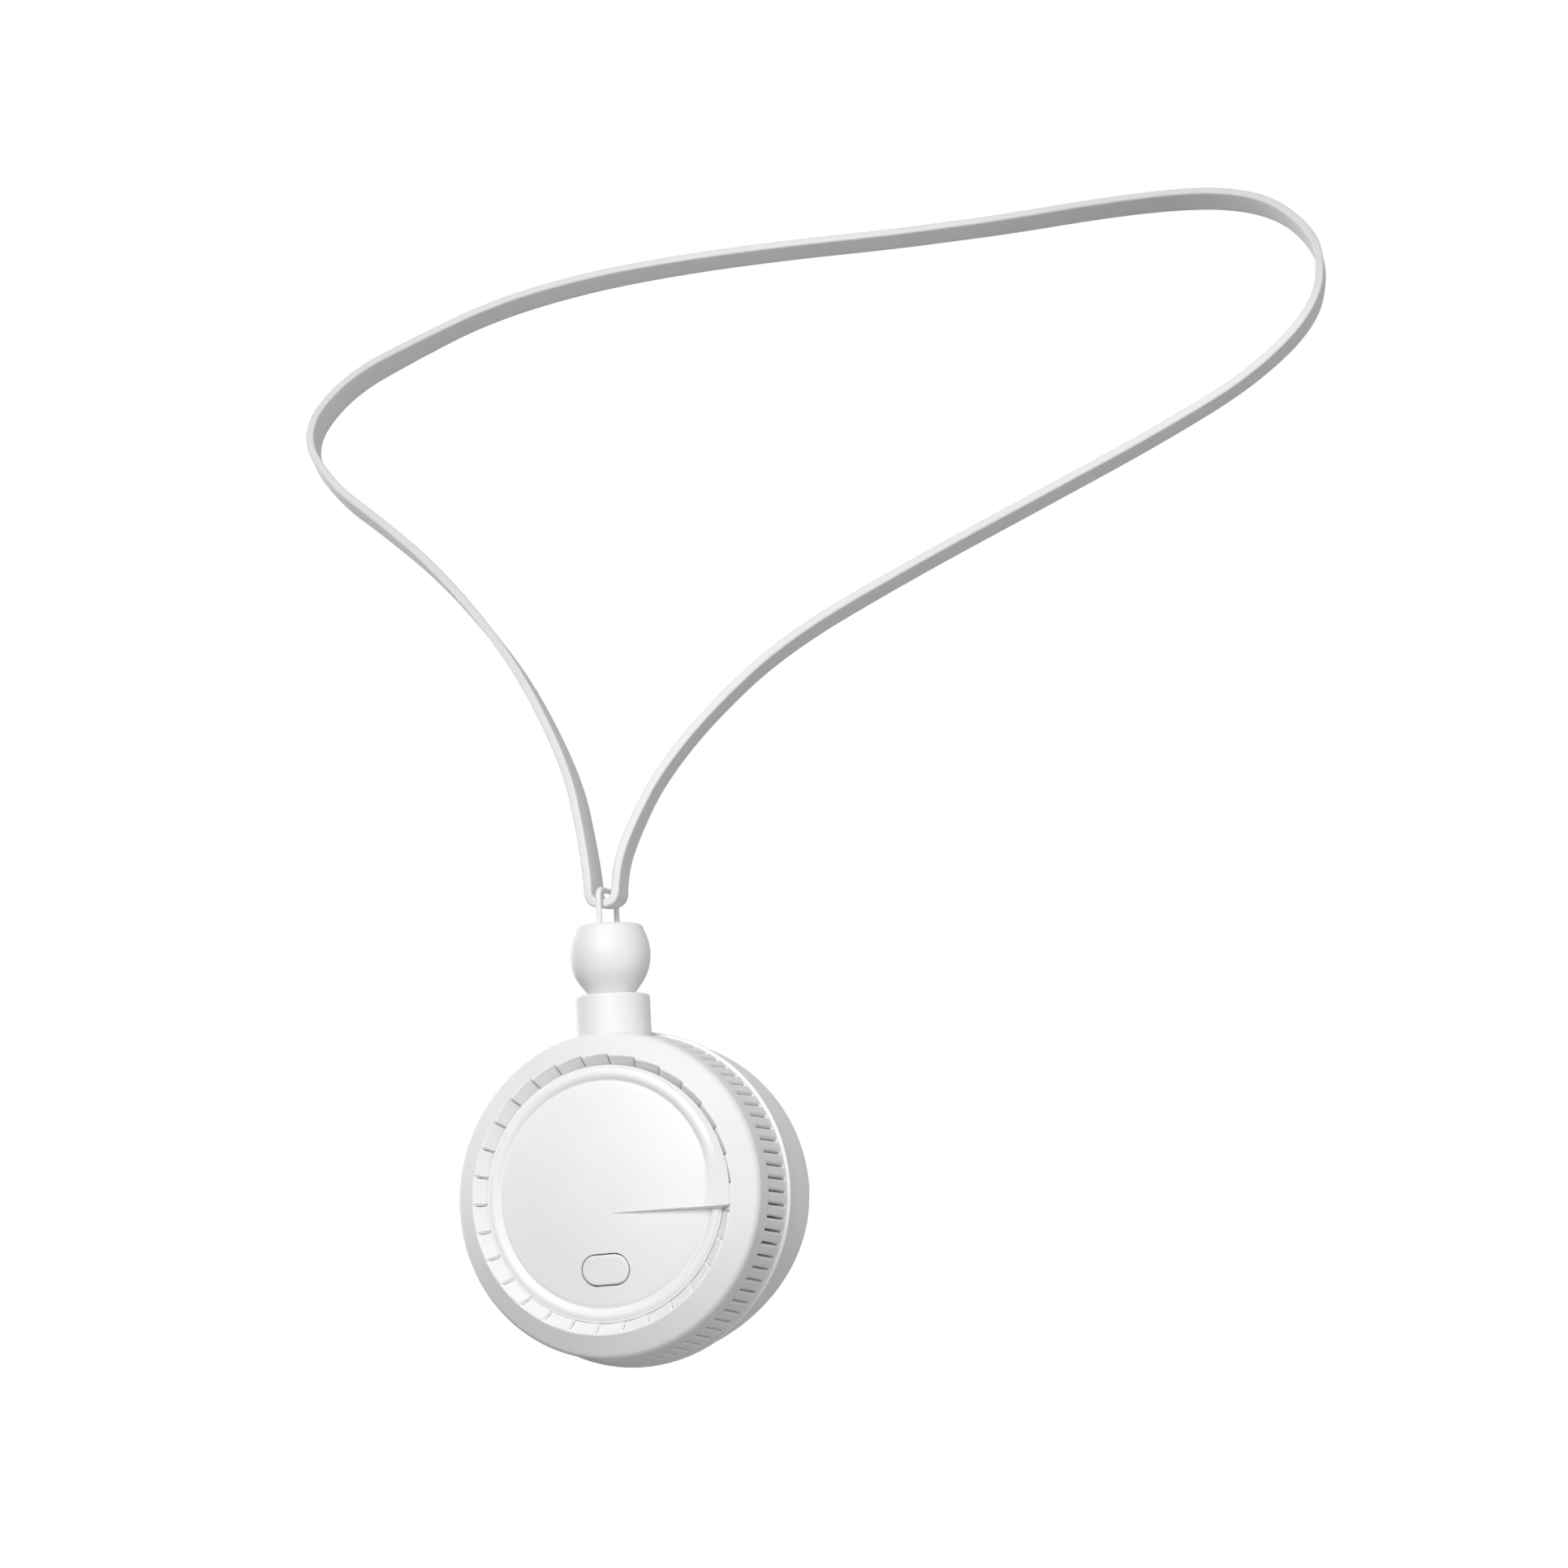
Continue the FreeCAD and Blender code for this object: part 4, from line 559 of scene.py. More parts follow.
pole_x, pole_z = size("Pole X"), size("Pole Z")
turn, share = strip_value("turn"), strip_value("share")
angle = (size("Step Angle") + size("Direction") * turn * 360.0) * math.radians(1.0)
way_x, way_z = angle.cosine(), angle.sine()
along = pole_x * way_x + pole_z * way_z
pole_square = pole_x * pole_x + pole_z * pole_z
climb_part = 1.0 - size("Step Share")
fall = ((turn - climb_part) / size("Step Share")).clamped()
lift = (turn / climb_part).at_most(1.0) ** size("Power") * (1.0 - fall ** fall_power)
flared = size("Flare") * lift
ring = strip_value("ring") + strip_value("follow") * flared
out = share * ring_distance(ring, along, pole_square)
reach = out / ring_distance(size("Rim") + flared, along, pole_square)
x, z = pole_x + way_x * out, pole_z + way_z * out
radius = (x * x + z * z).root()
risen = lift * reach ** reach_power
fade = ((size("Fade End") - risen) / size("Fade Width")).clamped()
bead = size("Bead Height") * hump(radius, size("Bead Radius"), size("Bead Half Width"))
seam = size("Seam Depth") * hump(radius, size("Seam Radius"), size("Seam Half Width"))
ball = size("Ball")
dome = ((ball * ball - radius * radius).root() - ball + size("Dome")).at_least(0.0)
change = size("Rise") * risen - (bead - seam) * fade - dome
depth = strip_value("level") + strip_value("climb") * change
place = board.node("ShaderNodeCombineXYZ", {}, {"X": x * mm, "Y": depth * mm, "Z": z * mm})
shape = board.node("GeometryNodeSetPosition", {}, {
    "Geometry": size("Geometry"), "Position": place})
shape = board.node("GeometryNodeTransform", {}, {
    "Geometry": shape, "Translation": size("Centre")})
spiral_plate = close_recipe(board, sizes, shape)
print("tree", spiral_plate.name, len(spiral_plate.nodes), "nodes")

# %% [markdown]
# ## Front bezel with the intake louvres
#
# The bezel is a conical ring with a rounded outer edge. Its inner wall is a cone cut into
# thirty saw-tooth facets, and air is drawn in through a hair slit behind each tooth. A lathe
# alone can't give the teeth, so one sector of 12 degrees is drawn as rows (the profile) and
# columns (the angles), and the copying tree closes the ring.

# %% One sector of the bezel
louvre_count, louvre_step, tooth_end = 30, 0.5, 0.95
slit_radius, slit_start, slit_end, slit_roof = 27.1, 0.024, 0.052, 0.4
seat_bore, seat_radius, seat_depth = 23.4, 24.9, 4.0
wall_foot, crest_inner, hair = 2.3, 27.0, 0.05
crest_outer, slope_radius, slope_drop = 27.6, 31.23, 2.745
bezel_radius, bezel_side, bezel_depth, edge_round = 32.1, 4.495, 4.6, 2.2
spigot_radius, spigot_bore, spigot_depth = 30.6, 26.9, 3.4
edge_steps = 12


def bezel_profile():
    """Rows of the ring as radius, depth and how much of the saw-tooth they follow."""
    rows = [
        (seat_bore, bezel_depth, 0), (seat_bore, seat_depth + hair, 0),
        (seat_bore + hair, seat_depth, 0), (seat_radius, seat_depth, 0),
        (seat_radius, wall_foot + 0.1, 0), (seat_radius, wall_foot, 1),
    ]
    for share in (0.2, 0.4, 0.6, 0.8, 0.92):
        radius = seat_radius + (crest_inner - seat_radius) * share
        rows.append((radius, wall_foot - wall_foot * share, 1))
    rows += [
        (crest_inner - 0.07, hair, 1), (crest_inner + 0.03, 0.0, 1),
        (crest_outer - 0.04, 0.0, 0), (crest_outer + hair, 0.04, 0),
    ]
    for share in (0.05, 0.3, 0.6, 0.9, 1.0):
        radius = crest_outer + (slope_radius - crest_outer) * share
        rows.append((radius, slope_drop * share, 0))
    first = math.acos((slope_radius - bezel_radius + edge_round) / edge_round)
    for step in range(1, edge_steps + 1):
        angle = first * (1 - step / edge_steps)
        radius = bezel_radius - edge_round * (1 - math.cos(angle))
        rows.append((radius, bezel_side - edge_round * math.sin(angle), 0))
    rows += [
        (bezel_radius, 4.52, 0), (bezel_radius - 0.03, 4.57, 0),
        (bezel_radius - 0.1, bezel_depth, 0), (spigot_radius, bezel_depth, 0),
        (spigot_radius, spigot_depth, 0),
        (spigot_bore, spigot_depth, 0), (spigot_bore, bezel_depth, 0),
    ]
    return rows


def bezel_point(radius, depth, follow, share):
    """A profile point at a share of the sector; the slit is cut in after the tooth's step."""
    rising = (share - tooth_end) / (1 - tooth_end)
    tooth = 1 - share / tooth_end if share <= tooth_end else rising
    radius += follow * louvre_step * tooth
    if follow and slit_start < share < slit_end and depth > slit_roof:
        radius = max(radius, slit_radius)
    angle = 2 * math.pi * share / louvre_count
    return Vector((radius * math.cos(angle), depth, radius * math.sin(angle))) * mm


columns = [0.0, 0.02, 0.026, 0.038, 0.05, 0.056, 0.2, 0.35, 0.5, 0.65, 0.8, tooth_end, 1.0]
rows = bezel_profile()
points = [bezel_point(*row, share) for share in columns for row in rows]
faces = tube_faces(len(columns), len(rows), False)
front_bezel = piece_of("louvred_bezel", points, faces)
run_recipe(front_bezel, copies_round_axis, {
    "Count": louvre_count, "Centre": drum_centre, "Finish": finishes["white_plastic"]})
print("bezel", len(front_bezel.data.polygons), "faces")

# %% [markdown]
# ## Spiral cover
#
# The front cover runs from the pole out to the groove wall. Round the dome lies a land with
# a low bead, set off by a fine seam, and both sink into the tongue as it rises. The rows
# near the rim lie on rings round the axis, so that bead and seam come out crisp.

# %% Strip of rows and columns


def spiral_strip(name, rows, turns, step_share):
    """A strip whose points carry their row's and column's numbers for the spiral tree."""
    columns = [(1 - step_share) * index / turns for index in range(turns + 1)]
    columns += [1 - step_share + step_share * part for part in (0.15, 0.3, 0.5, 0.7, 0.85)]
    count = len(rows)
    points = [(turn, row / count, 0.0) for turn in columns for row in range(count)]
    mesh = bpy.data.meshes.new(name)
    mesh.from_pydata(points, [], sheet_faces(len(columns), count))
    names = ("turn", "share", "ring", "follow", "level", "climb")
    for place, label in enumerate(names):
        values = [(turn, *row)[place] for turn in columns for row in rows]
        mesh.attributes.new(label, "FLOAT", "POINT").data.foreach_set("value", values)
    thing = bpy.data.objects.new(name, mesh)
    scene.collection.objects.link(thing)
    return thing


cover_low, cover_lip, cover_base, cover_side = 2.0, 2.5, 4.0, 24.78
disc_radius, rim_radius, dome = 21.9, 25.05, 3.0
ball = (dome ** 2 + disc_radius ** 2) / (2 * dome)
disc_rows, land_rows, cover_turns, step_share = 40, 32, 300, 0.0035

cover_rows = [(row / disc_rows, disc_radius, 0.0, cover_low, 1.0) for row in range(disc_rows + 1)]
for row in range(1, land_rows + 1):
    part = row / land_rows
    ring = disc_radius + (rim_radius - disc_radius) * part
    cover_rows.append((1.0, ring, part, cover_low, 1.0))
for share, depth in ((1.0, cover_lip), (1.0, cover_base), (0.0, cover_base)):
    cover_rows.append((share, cover_side, 0.0, depth, 0.0))
spiral_cover = spiral_strip("spiral_cover_plate", cover_rows, cover_turns, step_share)
cover_sizes = {
    "Pole X": 2.4, "Pole Z": -4.0, "Step Angle": -1.6, "Direction": -1.0, "Step Share": step_share,
    "Power": 6.0, "Rise": -2.0, "Rim": rim_radius, "Flare": 2.2,
    "Bead Radius": 23.75, "Bead Half Width": 1.05, "Bead Height": 0.45,
    "Seam Radius": 22.3, "Seam Half Width": 0.45, "Seam Depth": 0.22,
    "Fade End": 0.65, "Fade Width": 0.2, "Dome": dome, "Ball": ball,
    "Centre": drum_centre, "Finish": finishes["white_plastic"],
}
run_recipe(spiral_cover, spiral_plate, cover_sizes)
print("cover", len(spiral_cover.data.polygons), "faces")

# %% [markdown]
# ## Power button and its hole
#
# The button is a pill of about 10 by 6 mm that stands a quarter of a millimetre proud, with a
# hair gap all round, and its face carries on the curve of the dome. The hole is cut with a
# Boolean by a pill-shaped bar, and the button is stacked from pill outlines: flange, wall,
# rounded edge, and a very slight dish.

# %% Pills


def pill(length, width, steps=16):
    """Outline of a bar with round ends, in its own plane."""
    radius, straight = width / 2, (length - width) / 2
    points = []
    for end in (0, 1):
        for step in range(steps + 1):
            angle = math.pi * (end + step / steps) - math.pi / 2
            middle = straight if end == 0 else -straight
            points.append((middle + radius * math.cos(angle), radius * math.sin(angle)))
    return points


def stacked_pill(name, layers, place):
    """Pill outlines stacked along depth: each layer is a length, a width and a depth."""
    points = []
    for length, width, depth in layers:
        outline = pill(length, width)
        points += [place(across, along, depth) for across, along in outline]
    faces = tube_faces(len(layers), len(outline), False) + end_faces(len(layers), len(outline))
    return piece_of(name, points, faces, pill_sharp_angle)


def cut_out(thing, cutter):
    """Takes a closed cutter away from a piece and keeps the result."""
    modifier = thing.modifiers.new("hole", "BOOLEAN")
    modifier.object = cutter
    modifier.solver = "EXACT"
    keep_result(thing)
    bpy.data.objects.remove(cutter)


def on_face(drop):
    """Places a point across and along the drum's face, at a drop below its middle."""
    return lambda across, along, depth: drum_centre + Vector((across, depth, along - drop)) * mm


def on_dome(drop):
    """The same, but depths up to the dome's height are counted from its surface."""
    def place(across, along, depth):
        if depth < dome:
            radius = math.hypot(across, along - drop)
            depth += cover_low - (math.sqrt(ball ** 2 - radius ** 2) - ball + dome)
        return on_face(drop)(across, along, depth)
    return place


button_length, button_width, button_drop, button_gap = 9.8, 5.8, 14.8, 0.25
flange, flange_top, flange_foot = 2.0, 4.25, 4.95
hole_front, hole_back = -3.0, 6.0
hole_length, hole_width = button_length + 2 * button_gap, button_width + 2 * button_gap
hole_layers = [(hole_length, hole_width, depth) for depth in (hole_front, hole_back)]
cut_out(spiral_cover, stacked_pill("button_hole", hole_layers, on_face(button_drop)))
button_steps = [
    (flange, flange_foot), (flange, flange_top), (0.0, flange_top), (0.0, 0.1),
    (-0.06, -0.08), (-0.24, -0.2), (-0.5, -0.25), (-1.6, -0.22), (-3.6, -0.19), (-5.4, -0.18),
]
button_layers = [(button_length + grow, button_width + grow, depth) for grow, depth in button_steps]
power_button = stacked_pill("power_button_cap", button_layers, on_dome(button_drop))
print("button", len(power_button.data.polygons), "faces")

# %% [markdown]
# ## Vent band
#
# Behind the bezel the drum's side is a ring of 78 ribs with open slots between them, where
# the air leaves. The two end rings and the neck stub are turned on a lathe function, and
# one rib with rounded outer edges is copied round the axis.

# %% Lathe


def spun(profile, angle, place):
    """The points of a profile of radius and height, at an angle round an axis."""
    across, along = math.cos(angle), math.sin(angle)
    return [place(radius * across, radius * along, height) for radius, height in profile]


def turned_piece(name, profile, columns, place):
    """A closed profile turned round an axis."""
    points = []
    for column in range(columns):
        points += spun(profile, 2 * math.pi * column / columns, place)
    return piece_of(name, points, tube_faces(columns, len(profile), True))


def round_corners(corners, steps=4):
    """Rounds the corners of a closed outline: each is radius, height and its rounding."""
    outline = []
    for index, (across, along, rounding) in enumerate(corners):
        here = Vector((across, along))
        before = Vector(corners[index - 1][:2]) - here
        after = Vector(corners[(index + 1) % len(corners)][:2]) - here
        if rounding == 0:
            outline.append((across, along))
            continue
        half = before.angle(after) / 2
        before, after = before.normalized(), after.normalized()
        start = here + before * (rounding / math.tan(half))
        stop = here + after * (rounding / math.tan(half))
        centre = here + (before + after).normalized() * (rounding / math.sin(half))
        for step in range(steps + 1):
            spoke = (start - centre).lerp(stop - centre, step / steps).normalized() * rounding
            outline.append(tuple(centre + spoke))
    return outline


def round_drum(across, along, depth):
    return drum_centre + Vector((across, depth, along)) * mm


neck_y = -214.6


def round_neck(across, along, height):
    return Vector((across, neck_y + along, height)) * mm


def joined_piece(first, *others):
    """Puts the meshes of several objects into the first."""
    work = bmesh.new()
    for thing in (first, *others):
        work.from_mesh(thing.data)
    work.to_mesh(first.data)
    work.free()
    for thing in others:
        bpy.data.objects.remove(thing)
    first.data.set_sharp_from_angle(angle=math.radians(sharp_angle))
    return first


rib_count, slot_width, rib_front, rib_rear = 78, 0.4, 7.8, 16.0
rib_inner, rib_taper, rib_round, rib_steps = 28.6, 0.88, 0.5, 5
band_front_radius, band_rear_radius, band_length = 32.0, 32.5, 12.1
band_start, band_end, front_ring_end, rear_ring_start = 4.62, 16.68, 8.0, 15.9
tongue_radius, tongue_start = 30.5, 3.9
ring_soft, ring_round, ring_columns = 0.1, 0.3, 3 * rib_count
stub_bore, stub_radius, stub_round, stub_columns = 0.3, 3.8, 0.2, 64
stub_foot, stub_top = -200.1, -193.9


def band_radius(depth):
    """The ribbed band widens from the bezel to the trim ring."""
    widening = band_rear_radius - band_front_radius
    return band_front_radius + widening * (depth - bezel_depth) / band_length


rib_points = []
for depth in (rib_front, rib_rear):
    outer = band_radius(depth)
    rib_half = (2 * math.pi * outer / rib_count - slot_width) / 2
    rib_outline = round_corners([
        (rib_inner, -rib_half * rib_taper, 0), (outer, -rib_half, rib_round),
        (outer, rib_half, rib_round), (rib_inner, rib_half * rib_taper, 0)], rib_steps)
    rib_points += [Vector((across, depth, along)) * mm for across, along in rib_outline]
rib_faces = tube_faces(2, len(rib_outline), False) + end_faces(2, len(rib_outline))
vent_ribs = piece_of("vent_ribs", rib_points, rib_faces)
run_recipe(vent_ribs, copies_round_axis, {
    "Count": rib_count, "Centre": drum_centre, "Finish": finishes["white_plastic"]})
front_ring = turned_piece("front_ring", round_corners([
    (rib_inner, tongue_start, 0), (tongue_radius, tongue_start, ring_soft),
    (tongue_radius, band_start, 0), (band_front_radius, band_start, ring_soft),
    (band_radius(front_ring_end), front_ring_end, ring_round),
    (rib_inner, front_ring_end, 0)]), ring_columns, round_drum)
rear_ring = turned_piece("rear_ring", round_corners([
    (rib_inner, rear_ring_start, 0), (band_radius(rear_ring_start), rear_ring_start, ring_round),
    (band_rear_radius, band_end, ring_soft), (rib_inner, band_end, 0)]), ring_columns, round_drum)
stub = turned_piece("neck_stub", round_corners([
    (stub_bore, stub_foot, 0), (stub_radius, stub_foot, 0),
    (stub_radius, stub_top, stub_round), (stub_bore, stub_top, 0)]), stub_columns, round_neck)
main_housing = joined_piece(vent_ribs, front_ring, rear_ring, stub)
main_housing.name = "vent_housing"
print("housing", len(main_housing.data.polygons), "faces")

# %% [markdown]
# ## Trim ring and rear shell
#
# A smooth ring stands a little proud between the ribs and the rear shell. The rear shell is
# a cup whose upper back is flat with a long round edge. At mid-height its back steps in, and
# from there it sweeps forward to the chin. A lathe can't give the step, so the cup is drawn
# as columns round the axis, two of them side by side at each end of the step, and each row
# asks how deep the back is at its place. The charging port looks to the left through a
# pill-shaped hole, above a small lens.

# %% Trim ring and rear shell
trim_bore, trim_radius, trim_front, trim_rear, trim_columns = 31.0, 33.1, 16.7, 17.8, 240
trim_front_round, trim_rear_round, trim_steps = 0.25, 0.4, 6
trim_ring = turned_piece("trim_band", round_corners([
    (trim_bore, trim_front, 0), (trim_radius, trim_front, trim_front_round),
    (trim_radius, trim_rear, trim_rear_round), (trim_bore, trim_rear, 0)], trim_steps),
    trim_columns, round_drum)

rear_radius, rear_bore, rear_front, rear_back, rear_floor = 32.3, 30.8, 17.82, 32.5, 27.5
rear_step, sweep_radius, sweep_wall = 3.1, 55.88, 1.4
upper_edge, lower_edge = (2.2, 6.5), (0.8, 0.8)
back_rows, side_rows, half_columns = 24, 5, 120
step_gap = math.radians(0.05)


def swept_back(height):
    """Depth of the lower back at a height below the drum's middle."""
    return rear_back - rear_step - sweep_radius + math.sqrt(sweep_radius ** 2 - height ** 2)


def rear_column(angle, lower):
    """Points of the cup from the middle of its back round the rim to the middle of its floor."""
    inset, length = lower_edge if lower else upper_edge
    flat = rear_radius - inset
    outline = [(flat * row / back_rows, 0.0) for row in range(back_rows + 1)]
    for step in range(1, edge_steps + 1):
        part = math.pi / 2 * step / edge_steps
        outline.append((flat + inset * math.sin(part), length * (1 - math.cos(part))))
    column = []
    for radius, lower_by in outline:
        back = swept_back(radius * math.sin(angle)) if lower else rear_back
        column.append((radius, back - lower_by))
    side_end = column[-1][1]
    for row in range(1, side_rows + 1):
        column.append((rear_radius, side_end + (rear_front - side_end) * row / side_rows))
    column.append((rear_bore, rear_front))
    for step in range(edge_steps + 1):
        radius = rear_bore * (1 - step / edge_steps)
        room = swept_back(radius * math.sin(angle)) - sweep_wall if lower else rear_floor
        column.append((radius, min(room, rear_floor)))
    return column


rear_points = []
for lower in (False, True):
    first = math.pi + step_gap if lower else 0.0
    span = math.pi - 2 * step_gap if lower else math.pi
    for step in range(half_columns + 1):
        angle = first + span * step / half_columns
        column = rear_column(angle, lower)
        rear_points += spun(column, angle, round_drum)
rear_faces = sheet_faces(2 * (half_columns + 1), len(column))
rear_shell = piece_of("rear_shell_cup", rear_points, rear_faces)

port_depth, port_length, port_width, port_start = 21.9, 9.34, 3.6, 28.6
lens_drop, lens_radius, lens_sides, lens_start = 10.0, 0.75, 24, 26.0
tool_end = 34.0


def from_the_left(across, along, out):
    """Places a point of the port, which looks to the left."""
    return drum_centre + Vector((-out, port_depth + along, -across)) * mm


port_layers = [(port_length, port_width, out) for out in (port_start, tool_end)]
cut_out(rear_shell, stacked_pill("port_hole", port_layers, from_the_left))
lens_points = []
for out in (lens_start, tool_end):
    for side in range(lens_sides):
        angle = 2 * math.pi * side / lens_sides
        across, along = lens_radius * math.cos(angle), lens_radius * math.sin(angle)
        lens_points.append(from_the_left(lens_drop + across, along, out))
lens_faces = tube_faces(2, lens_sides, False) + end_faces(2, lens_sides)
cut_out(rear_shell, piece_of("lens_hole", lens_points, lens_faces))
print("rear shell", len(rear_shell.data.polygons), "faces")

# %% [markdown]
# ## Bead, collar and bail
#
# The bead is a small apple-shaped turning with a flat top. Below it, the collar is a plain
# sleeve whose foot follows the drum. The bail is one nylon wire bent over the strap like a
# staple, with both legs set into the bead.

# %% Bead
bead_top, bead_foot, bead_bore, bead_columns = -176.4, -190.0, 1.5, 96
foot_radius, foot_soft, foot_share = 4.65, 0.2, 0.35
shoulder_radius, shoulder_bend, shoulder_drop, shoulder_steps = 7.1, 7.35, 10.0, 8
brow_radius, brow_drop, belly_bulge, belly_steps, belly_start = 6.9, 1.0, 1.0, 20, 4
crown_bend, crown_radius, crown_steps = 6.75, 5.9, 6


def bulge(first, last, height, steps):
    """Points on an arc from first to last that bulges outwards by height."""
    start, stop = Vector(first), Vector(last)
    chord = stop - start
    outwards = Vector((chord.y, -chord.x)).normalized()
    points = []
    for step in range(steps + 1):
        part = step / steps
        points.append(tuple(start + chord * part + outwards * (height * 4 * part * (1 - part))))
    return points


def eased(before, corner, after, steps):
    """Points of a soft bend from before to after that heads for the corner."""
    first, turn, last = Vector(before), Vector(corner), Vector(after)
    return [tuple(first.lerp(turn, step / steps).lerp(turn.lerp(last, step / steps), step / steps))
            for step in range(steps + 1)]


shoulder_height = bead_top - shoulder_drop
shoulder, brow = (shoulder_radius, shoulder_height), (brow_radius, bead_top - brow_drop)
belly = bulge(shoulder, brow, belly_bulge, belly_steps)[belly_start:]
foot_end = Vector((foot_radius, bead_foot)).lerp(Vector(shoulder), foot_share)
bead_profile = [
    (bead_bore, bead_top), (bead_bore, bead_foot),
    (foot_radius - foot_soft, bead_foot), (foot_radius, bead_foot + foot_soft),
]
bead_profile += eased(foot_end, (shoulder_bend, shoulder_height), belly[0], shoulder_steps)
bead_profile += belly[1:-1]
bead_profile += eased(belly[-1], (crown_bend, bead_top), (crown_radius, bead_top), crown_steps)
swivel_bead = turned_piece("swivel_bead_turning", bead_profile, bead_columns, round_neck)
print("bead", len(swivel_bead.data.polygons), "faces")

# %% Collar
collar_top, collar_radius, collar_bore, neck_depth = -190.3, 7.45, 3.85, 10.4
collar_round, collar_lip, pin_bore, foot_sink = 0.6, 1.6, 1.6, 0.15
collar_steps, collar_columns = 6, 144


def drum_surface(depth):
    """Radius of the drum's side where the collar's foot rests, without the trim ring."""
    if depth < slope_drop:
        return crest_outer + (slope_radius - crest_outer) * depth / slope_drop
    if depth < bezel_side:
        return bezel_radius - edge_round + math.sqrt(edge_round ** 2 - (bezel_side - depth) ** 2)
    if depth < bezel_depth:
        return bezel_radius
    return band_radius(depth) if depth < trim_front else rear_radius


def quarter(across, along, radius, steps):
    """A round corner that turns from the side at across to the top at along."""
    points = []
    for step in range(steps + 1):
        angle = math.pi / 2 * step / steps
        inwards, downwards = radius * (1 - math.cos(angle)), radius * (1 - math.sin(angle))
        points.append((across - inwards, along - downwards))
    return points


collar_points = []
collar_edge = quarter(collar_radius, collar_top, collar_round, collar_steps)
for column in range(collar_columns):
    angle = 2 * math.pi * column / collar_columns
    feet = []
    for radius in (collar_radius, collar_bore):
        across, along = radius * math.cos(angle), radius * math.sin(angle)
        rest = drum_surface(neck_depth + along) - foot_sink
        feet.append(drum_height + math.sqrt(rest ** 2 - across ** 2))
    profile = [(collar_bore, feet[1]), (collar_radius, feet[0])] + collar_edge
    profile += [
        (pin_bore, collar_top), (pin_bore, collar_top - collar_lip),
        (collar_bore, collar_top - collar_lip)]
    collar_points += spun(profile, angle, round_neck)
collar_faces = tube_faces(collar_columns, len(profile), True)
neck_collar = piece_of("neck_collar_sleeve", collar_points, collar_faces)
print("collar", len(neck_collar.data.polygons), "faces")

# %% Bail
wire_radius, leg_reach, bail_rise, bail_bend = 0.55, 4.41, 2.6, 1.6
leg_heights, bend_steps, wire_sides = (-8.3, -5.0, -2.5, 0.0), 8, 20
bail_half = [(leg_reach, height) for height in leg_heights]
bail_half += quarter(leg_reach, bail_rise, bail_bend, bend_steps) + [(0.0, bail_rise)]
bail_line = [(-reach, height) for reach, height in bail_half] + bail_half[-2::-1]
bail_line = [Vector((0.0, neck_y + reach, hook_height + height)) for reach, height in bail_line]
bail_frames = carried_frames(bail_line, Vector((1.0, 0.0, 0.0)))
bail_points = []
for place, (tangent, wide) in zip(bail_line, bail_frames):
    other = tangent.cross(wide)
    for side in range(wire_sides):
        angle = 2 * math.pi * side / wire_sides
        spoke = wide * math.cos(angle) + other * math.sin(angle)
        bail_points.append((place + spoke * wire_radius) * mm)
bail_faces = tube_faces(len(bail_line), wire_sides, False) + end_faces(len(bail_line), wire_sides)
bail_loop = piece_of("bail_wire", bail_points, bail_faces, wire_sharp_angle)
print("bail", len(bail_loop.data.polygons), "faces")

# %% [markdown]
# ## Riding on the CAD bodies
#
# Each piece gets its finish, rides on the body of the node it stands for, and hides that node.

# %% Ride and replace
dressed = [
    (neck_strap, "strap", "neck_strap", "strap_silicone"),
    (bail_loop, "hanger", "bail_loop", "bail_nylon"),
    (swivel_bead, "hanger", "swivel_bead", "white_plastic"),
    (neck_collar, "drum", "neck_collar", "white_plastic"),
    (front_bezel, "drum", "front_bezel", "white_plastic"),
    (spiral_cover, "drum", "spiral_cover", "white_plastic"),
    (power_button, "button", "power_button", "white_plastic"),
    (main_housing, "drum", "main_housing", "white_plastic"),
    (trim_ring, "drum", "trim_ring", "white_plastic"),
    (rear_shell, "drum", "rear_shell", "white_plastic"),
]
for thing, body, node, slot in dressed:
    thing.data.materials.clear()
    thing.data.materials.append(finishes[slot])
    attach(thing, body)
    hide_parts(node)
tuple(strap_line[0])
print("pieces", len(dressed))

# %% [markdown]
# ## Light and floor
#
# The light is that of a plain white studio: a wide soft lamp above the front, a weaker one
# on the right and one behind, and a dim dome. Seen directly or in gloss, the room is white;
# what it sheds on the object is much less, so that white plastic keeps its shading. The
# floor is pale paper to the eye, sheds less than that too, and can't be seen from below.

# %% Studio


def lamp(name, azimuth, elevation, distance, side, power):
    """A square soft lamp that looks at the drum from a direction given in degrees."""
    data = bpy.data.lights.new(name, "AREA")
    data.shape = "SQUARE"
    data.size = side
    data.energy = power
    thing = bpy.data.objects.new(name, data)
    out = direction(azimuth, elevation)
    thing.location = drum_centre + out * distance
    thing.rotation_euler = out.to_track_quat("Z", "Y").to_euler()
    scene.collection.objects.link(thing)


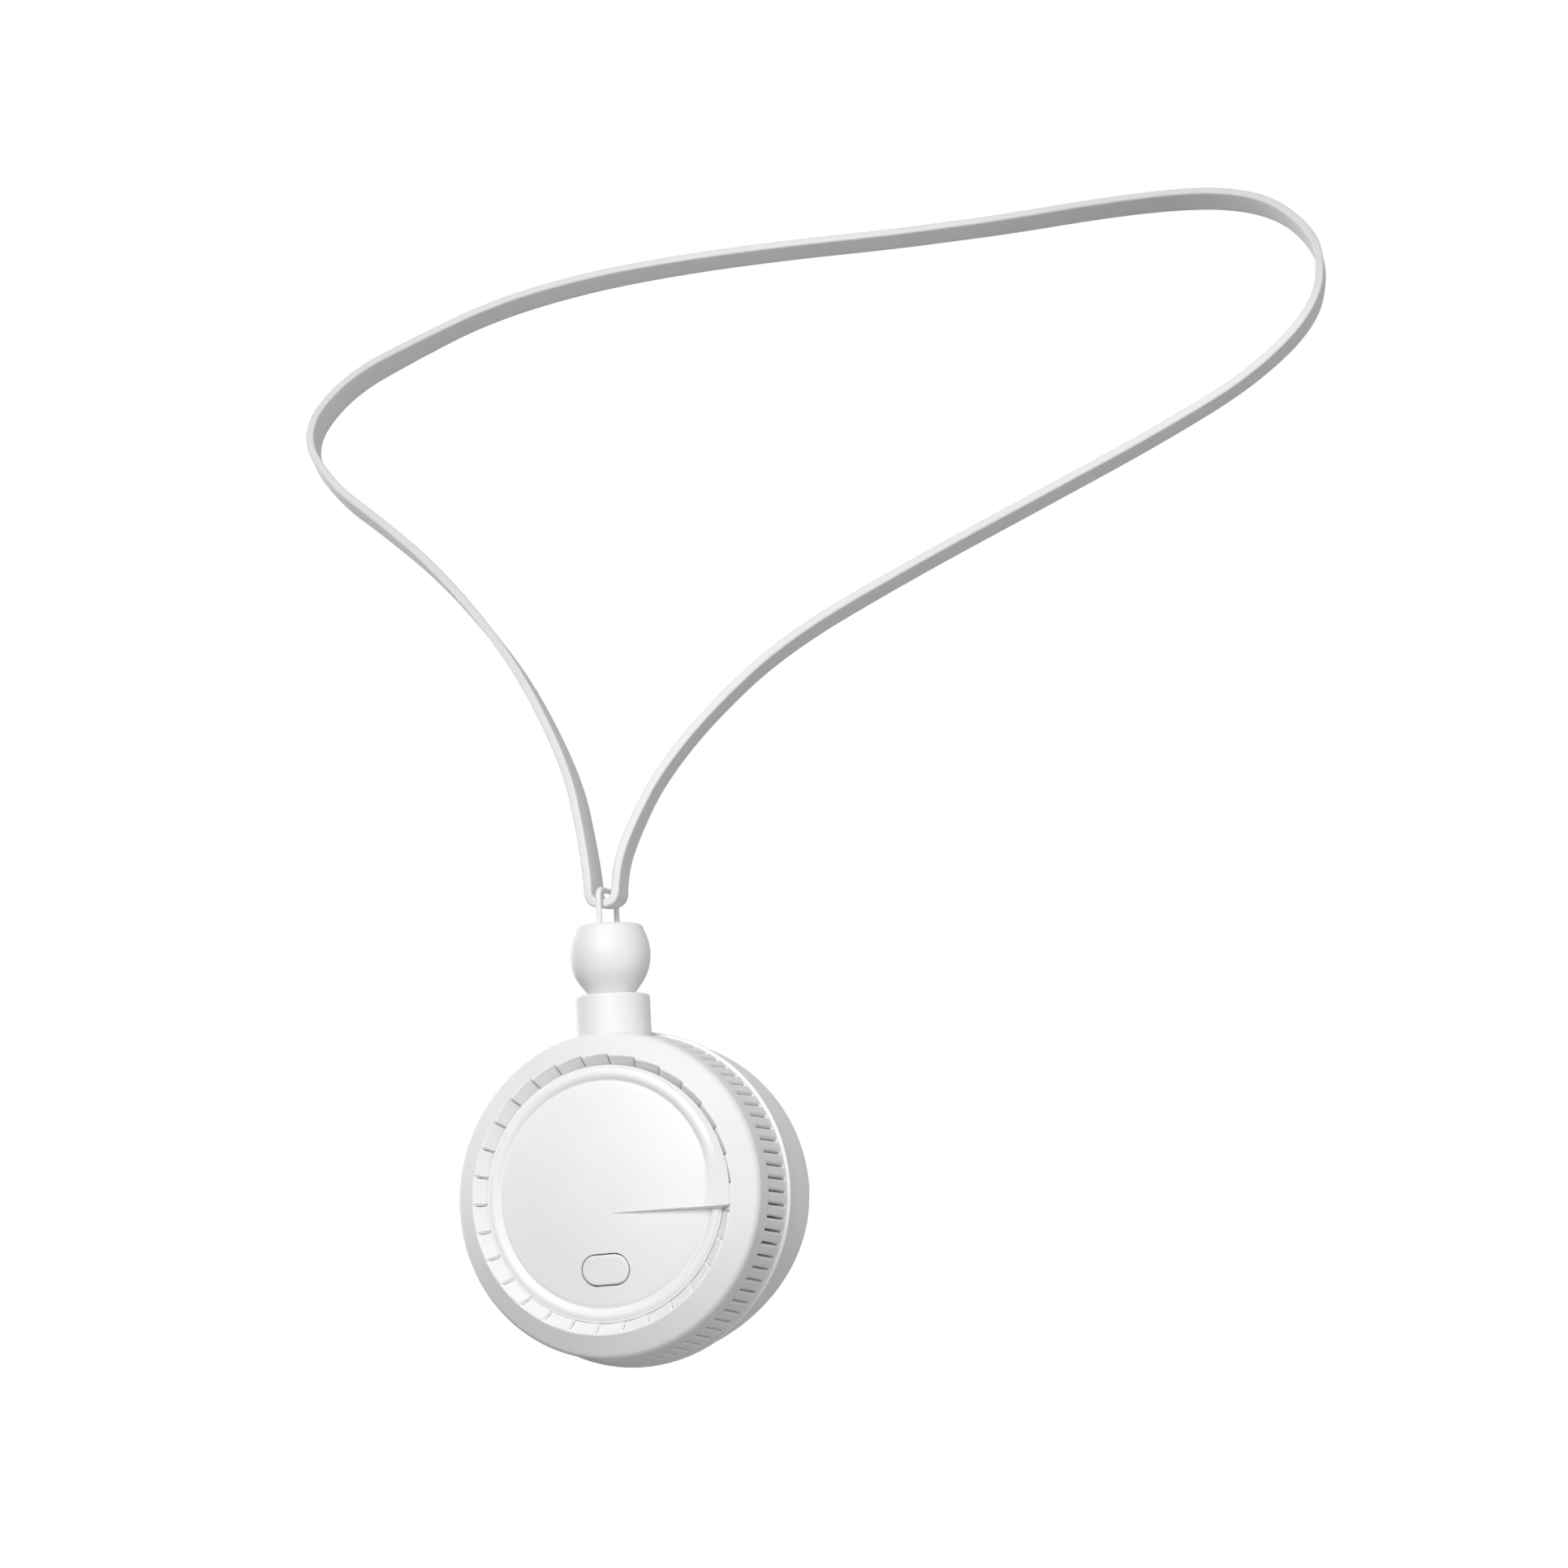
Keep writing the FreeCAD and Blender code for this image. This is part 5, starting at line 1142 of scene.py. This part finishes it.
lamp("key_lamp", 7.0, 28.0, 2.0, 1.2, 34.0)
lamp("side_lamp", 70.0, -8.0, 2.0, 1.4, 9.5)
lamp("back_lamp", 235.0, 15.0, 2.2, 1.4, 18.0)

sky_level, sky_rise, sky_fall = 0.20, 0.02, 0.05
floor_reach, floor_height, paper_shown = 6.0, -1.4, 0.9

world = bpy.data.worlds.new("studio")
scene.world = world
world.use_nodes = True
board = Board(world.node_tree)
world.node_tree.nodes.clear()
path = board.node("ShaderNodeLightPath", output="Is Camera Ray")
seen = (path + path.other("Is Glossy Ray") + path.other("Is Transmission Ray")).clamped()
way = board.node("ShaderNodeTexCoord", output="Generated")
height = board.node("ShaderNodeSeparateXYZ", {}, {"Vector": way}, "Z")
sky = sky_level + sky_rise * height - sky_fall * height.other("Y")
strength = seen + (1.0 - seen) * sky
backdrop = board.node("ShaderNodeBackground", {}, {
    "Color": (*grey(1.0), 1.0), "Strength": strength})
board.node("ShaderNodeOutputWorld", {}, {"Surface": backdrop})

floor_corners = [(-1, -1), (1, -1), (1, 1), (-1, 1)]
floor = piece_of("floor", [
    (floor_reach * x, floor_reach * y, floor_height) for x, y in floor_corners], [(0, 1, 2, 3)])
paper = finish("floor_paper", grey(0.52), grey(0.55), (0.8, 0.9), clouds=4.0, grain=300.0)
board = Board(paper.node_tree)
paper_nodes = paper.node_tree.nodes
lit_paper = Wire(paper_nodes["Principled BSDF"].outputs["BSDF"])
pale_paper = board.node("ShaderNodeEmission", {}, {"Color": (*grey(paper_shown), 1.0)})
from_below = board.node("ShaderNodeNewGeometry", output="Backfacing")
shown_paper = board.node("ShaderNodeMixShader", {}, {
    0: from_below, 1: pale_paper, 2: board.node("ShaderNodeBsdfTransparent")})
looked_at = board.node("ShaderNodeLightPath", output="Is Camera Ray")
paper_mix = board.node("ShaderNodeMixShader", {}, {0: looked_at, 1: lit_paper, 2: shown_paper})
paper_out = paper_nodes["Material Output"].inputs["Surface"]
paper.node_tree.links.new(paper_mix.socket, paper_out)
floor.data.materials.append(paper)
scene.view_settings.view_transform = "Standard"
print("lamps and floor ready")
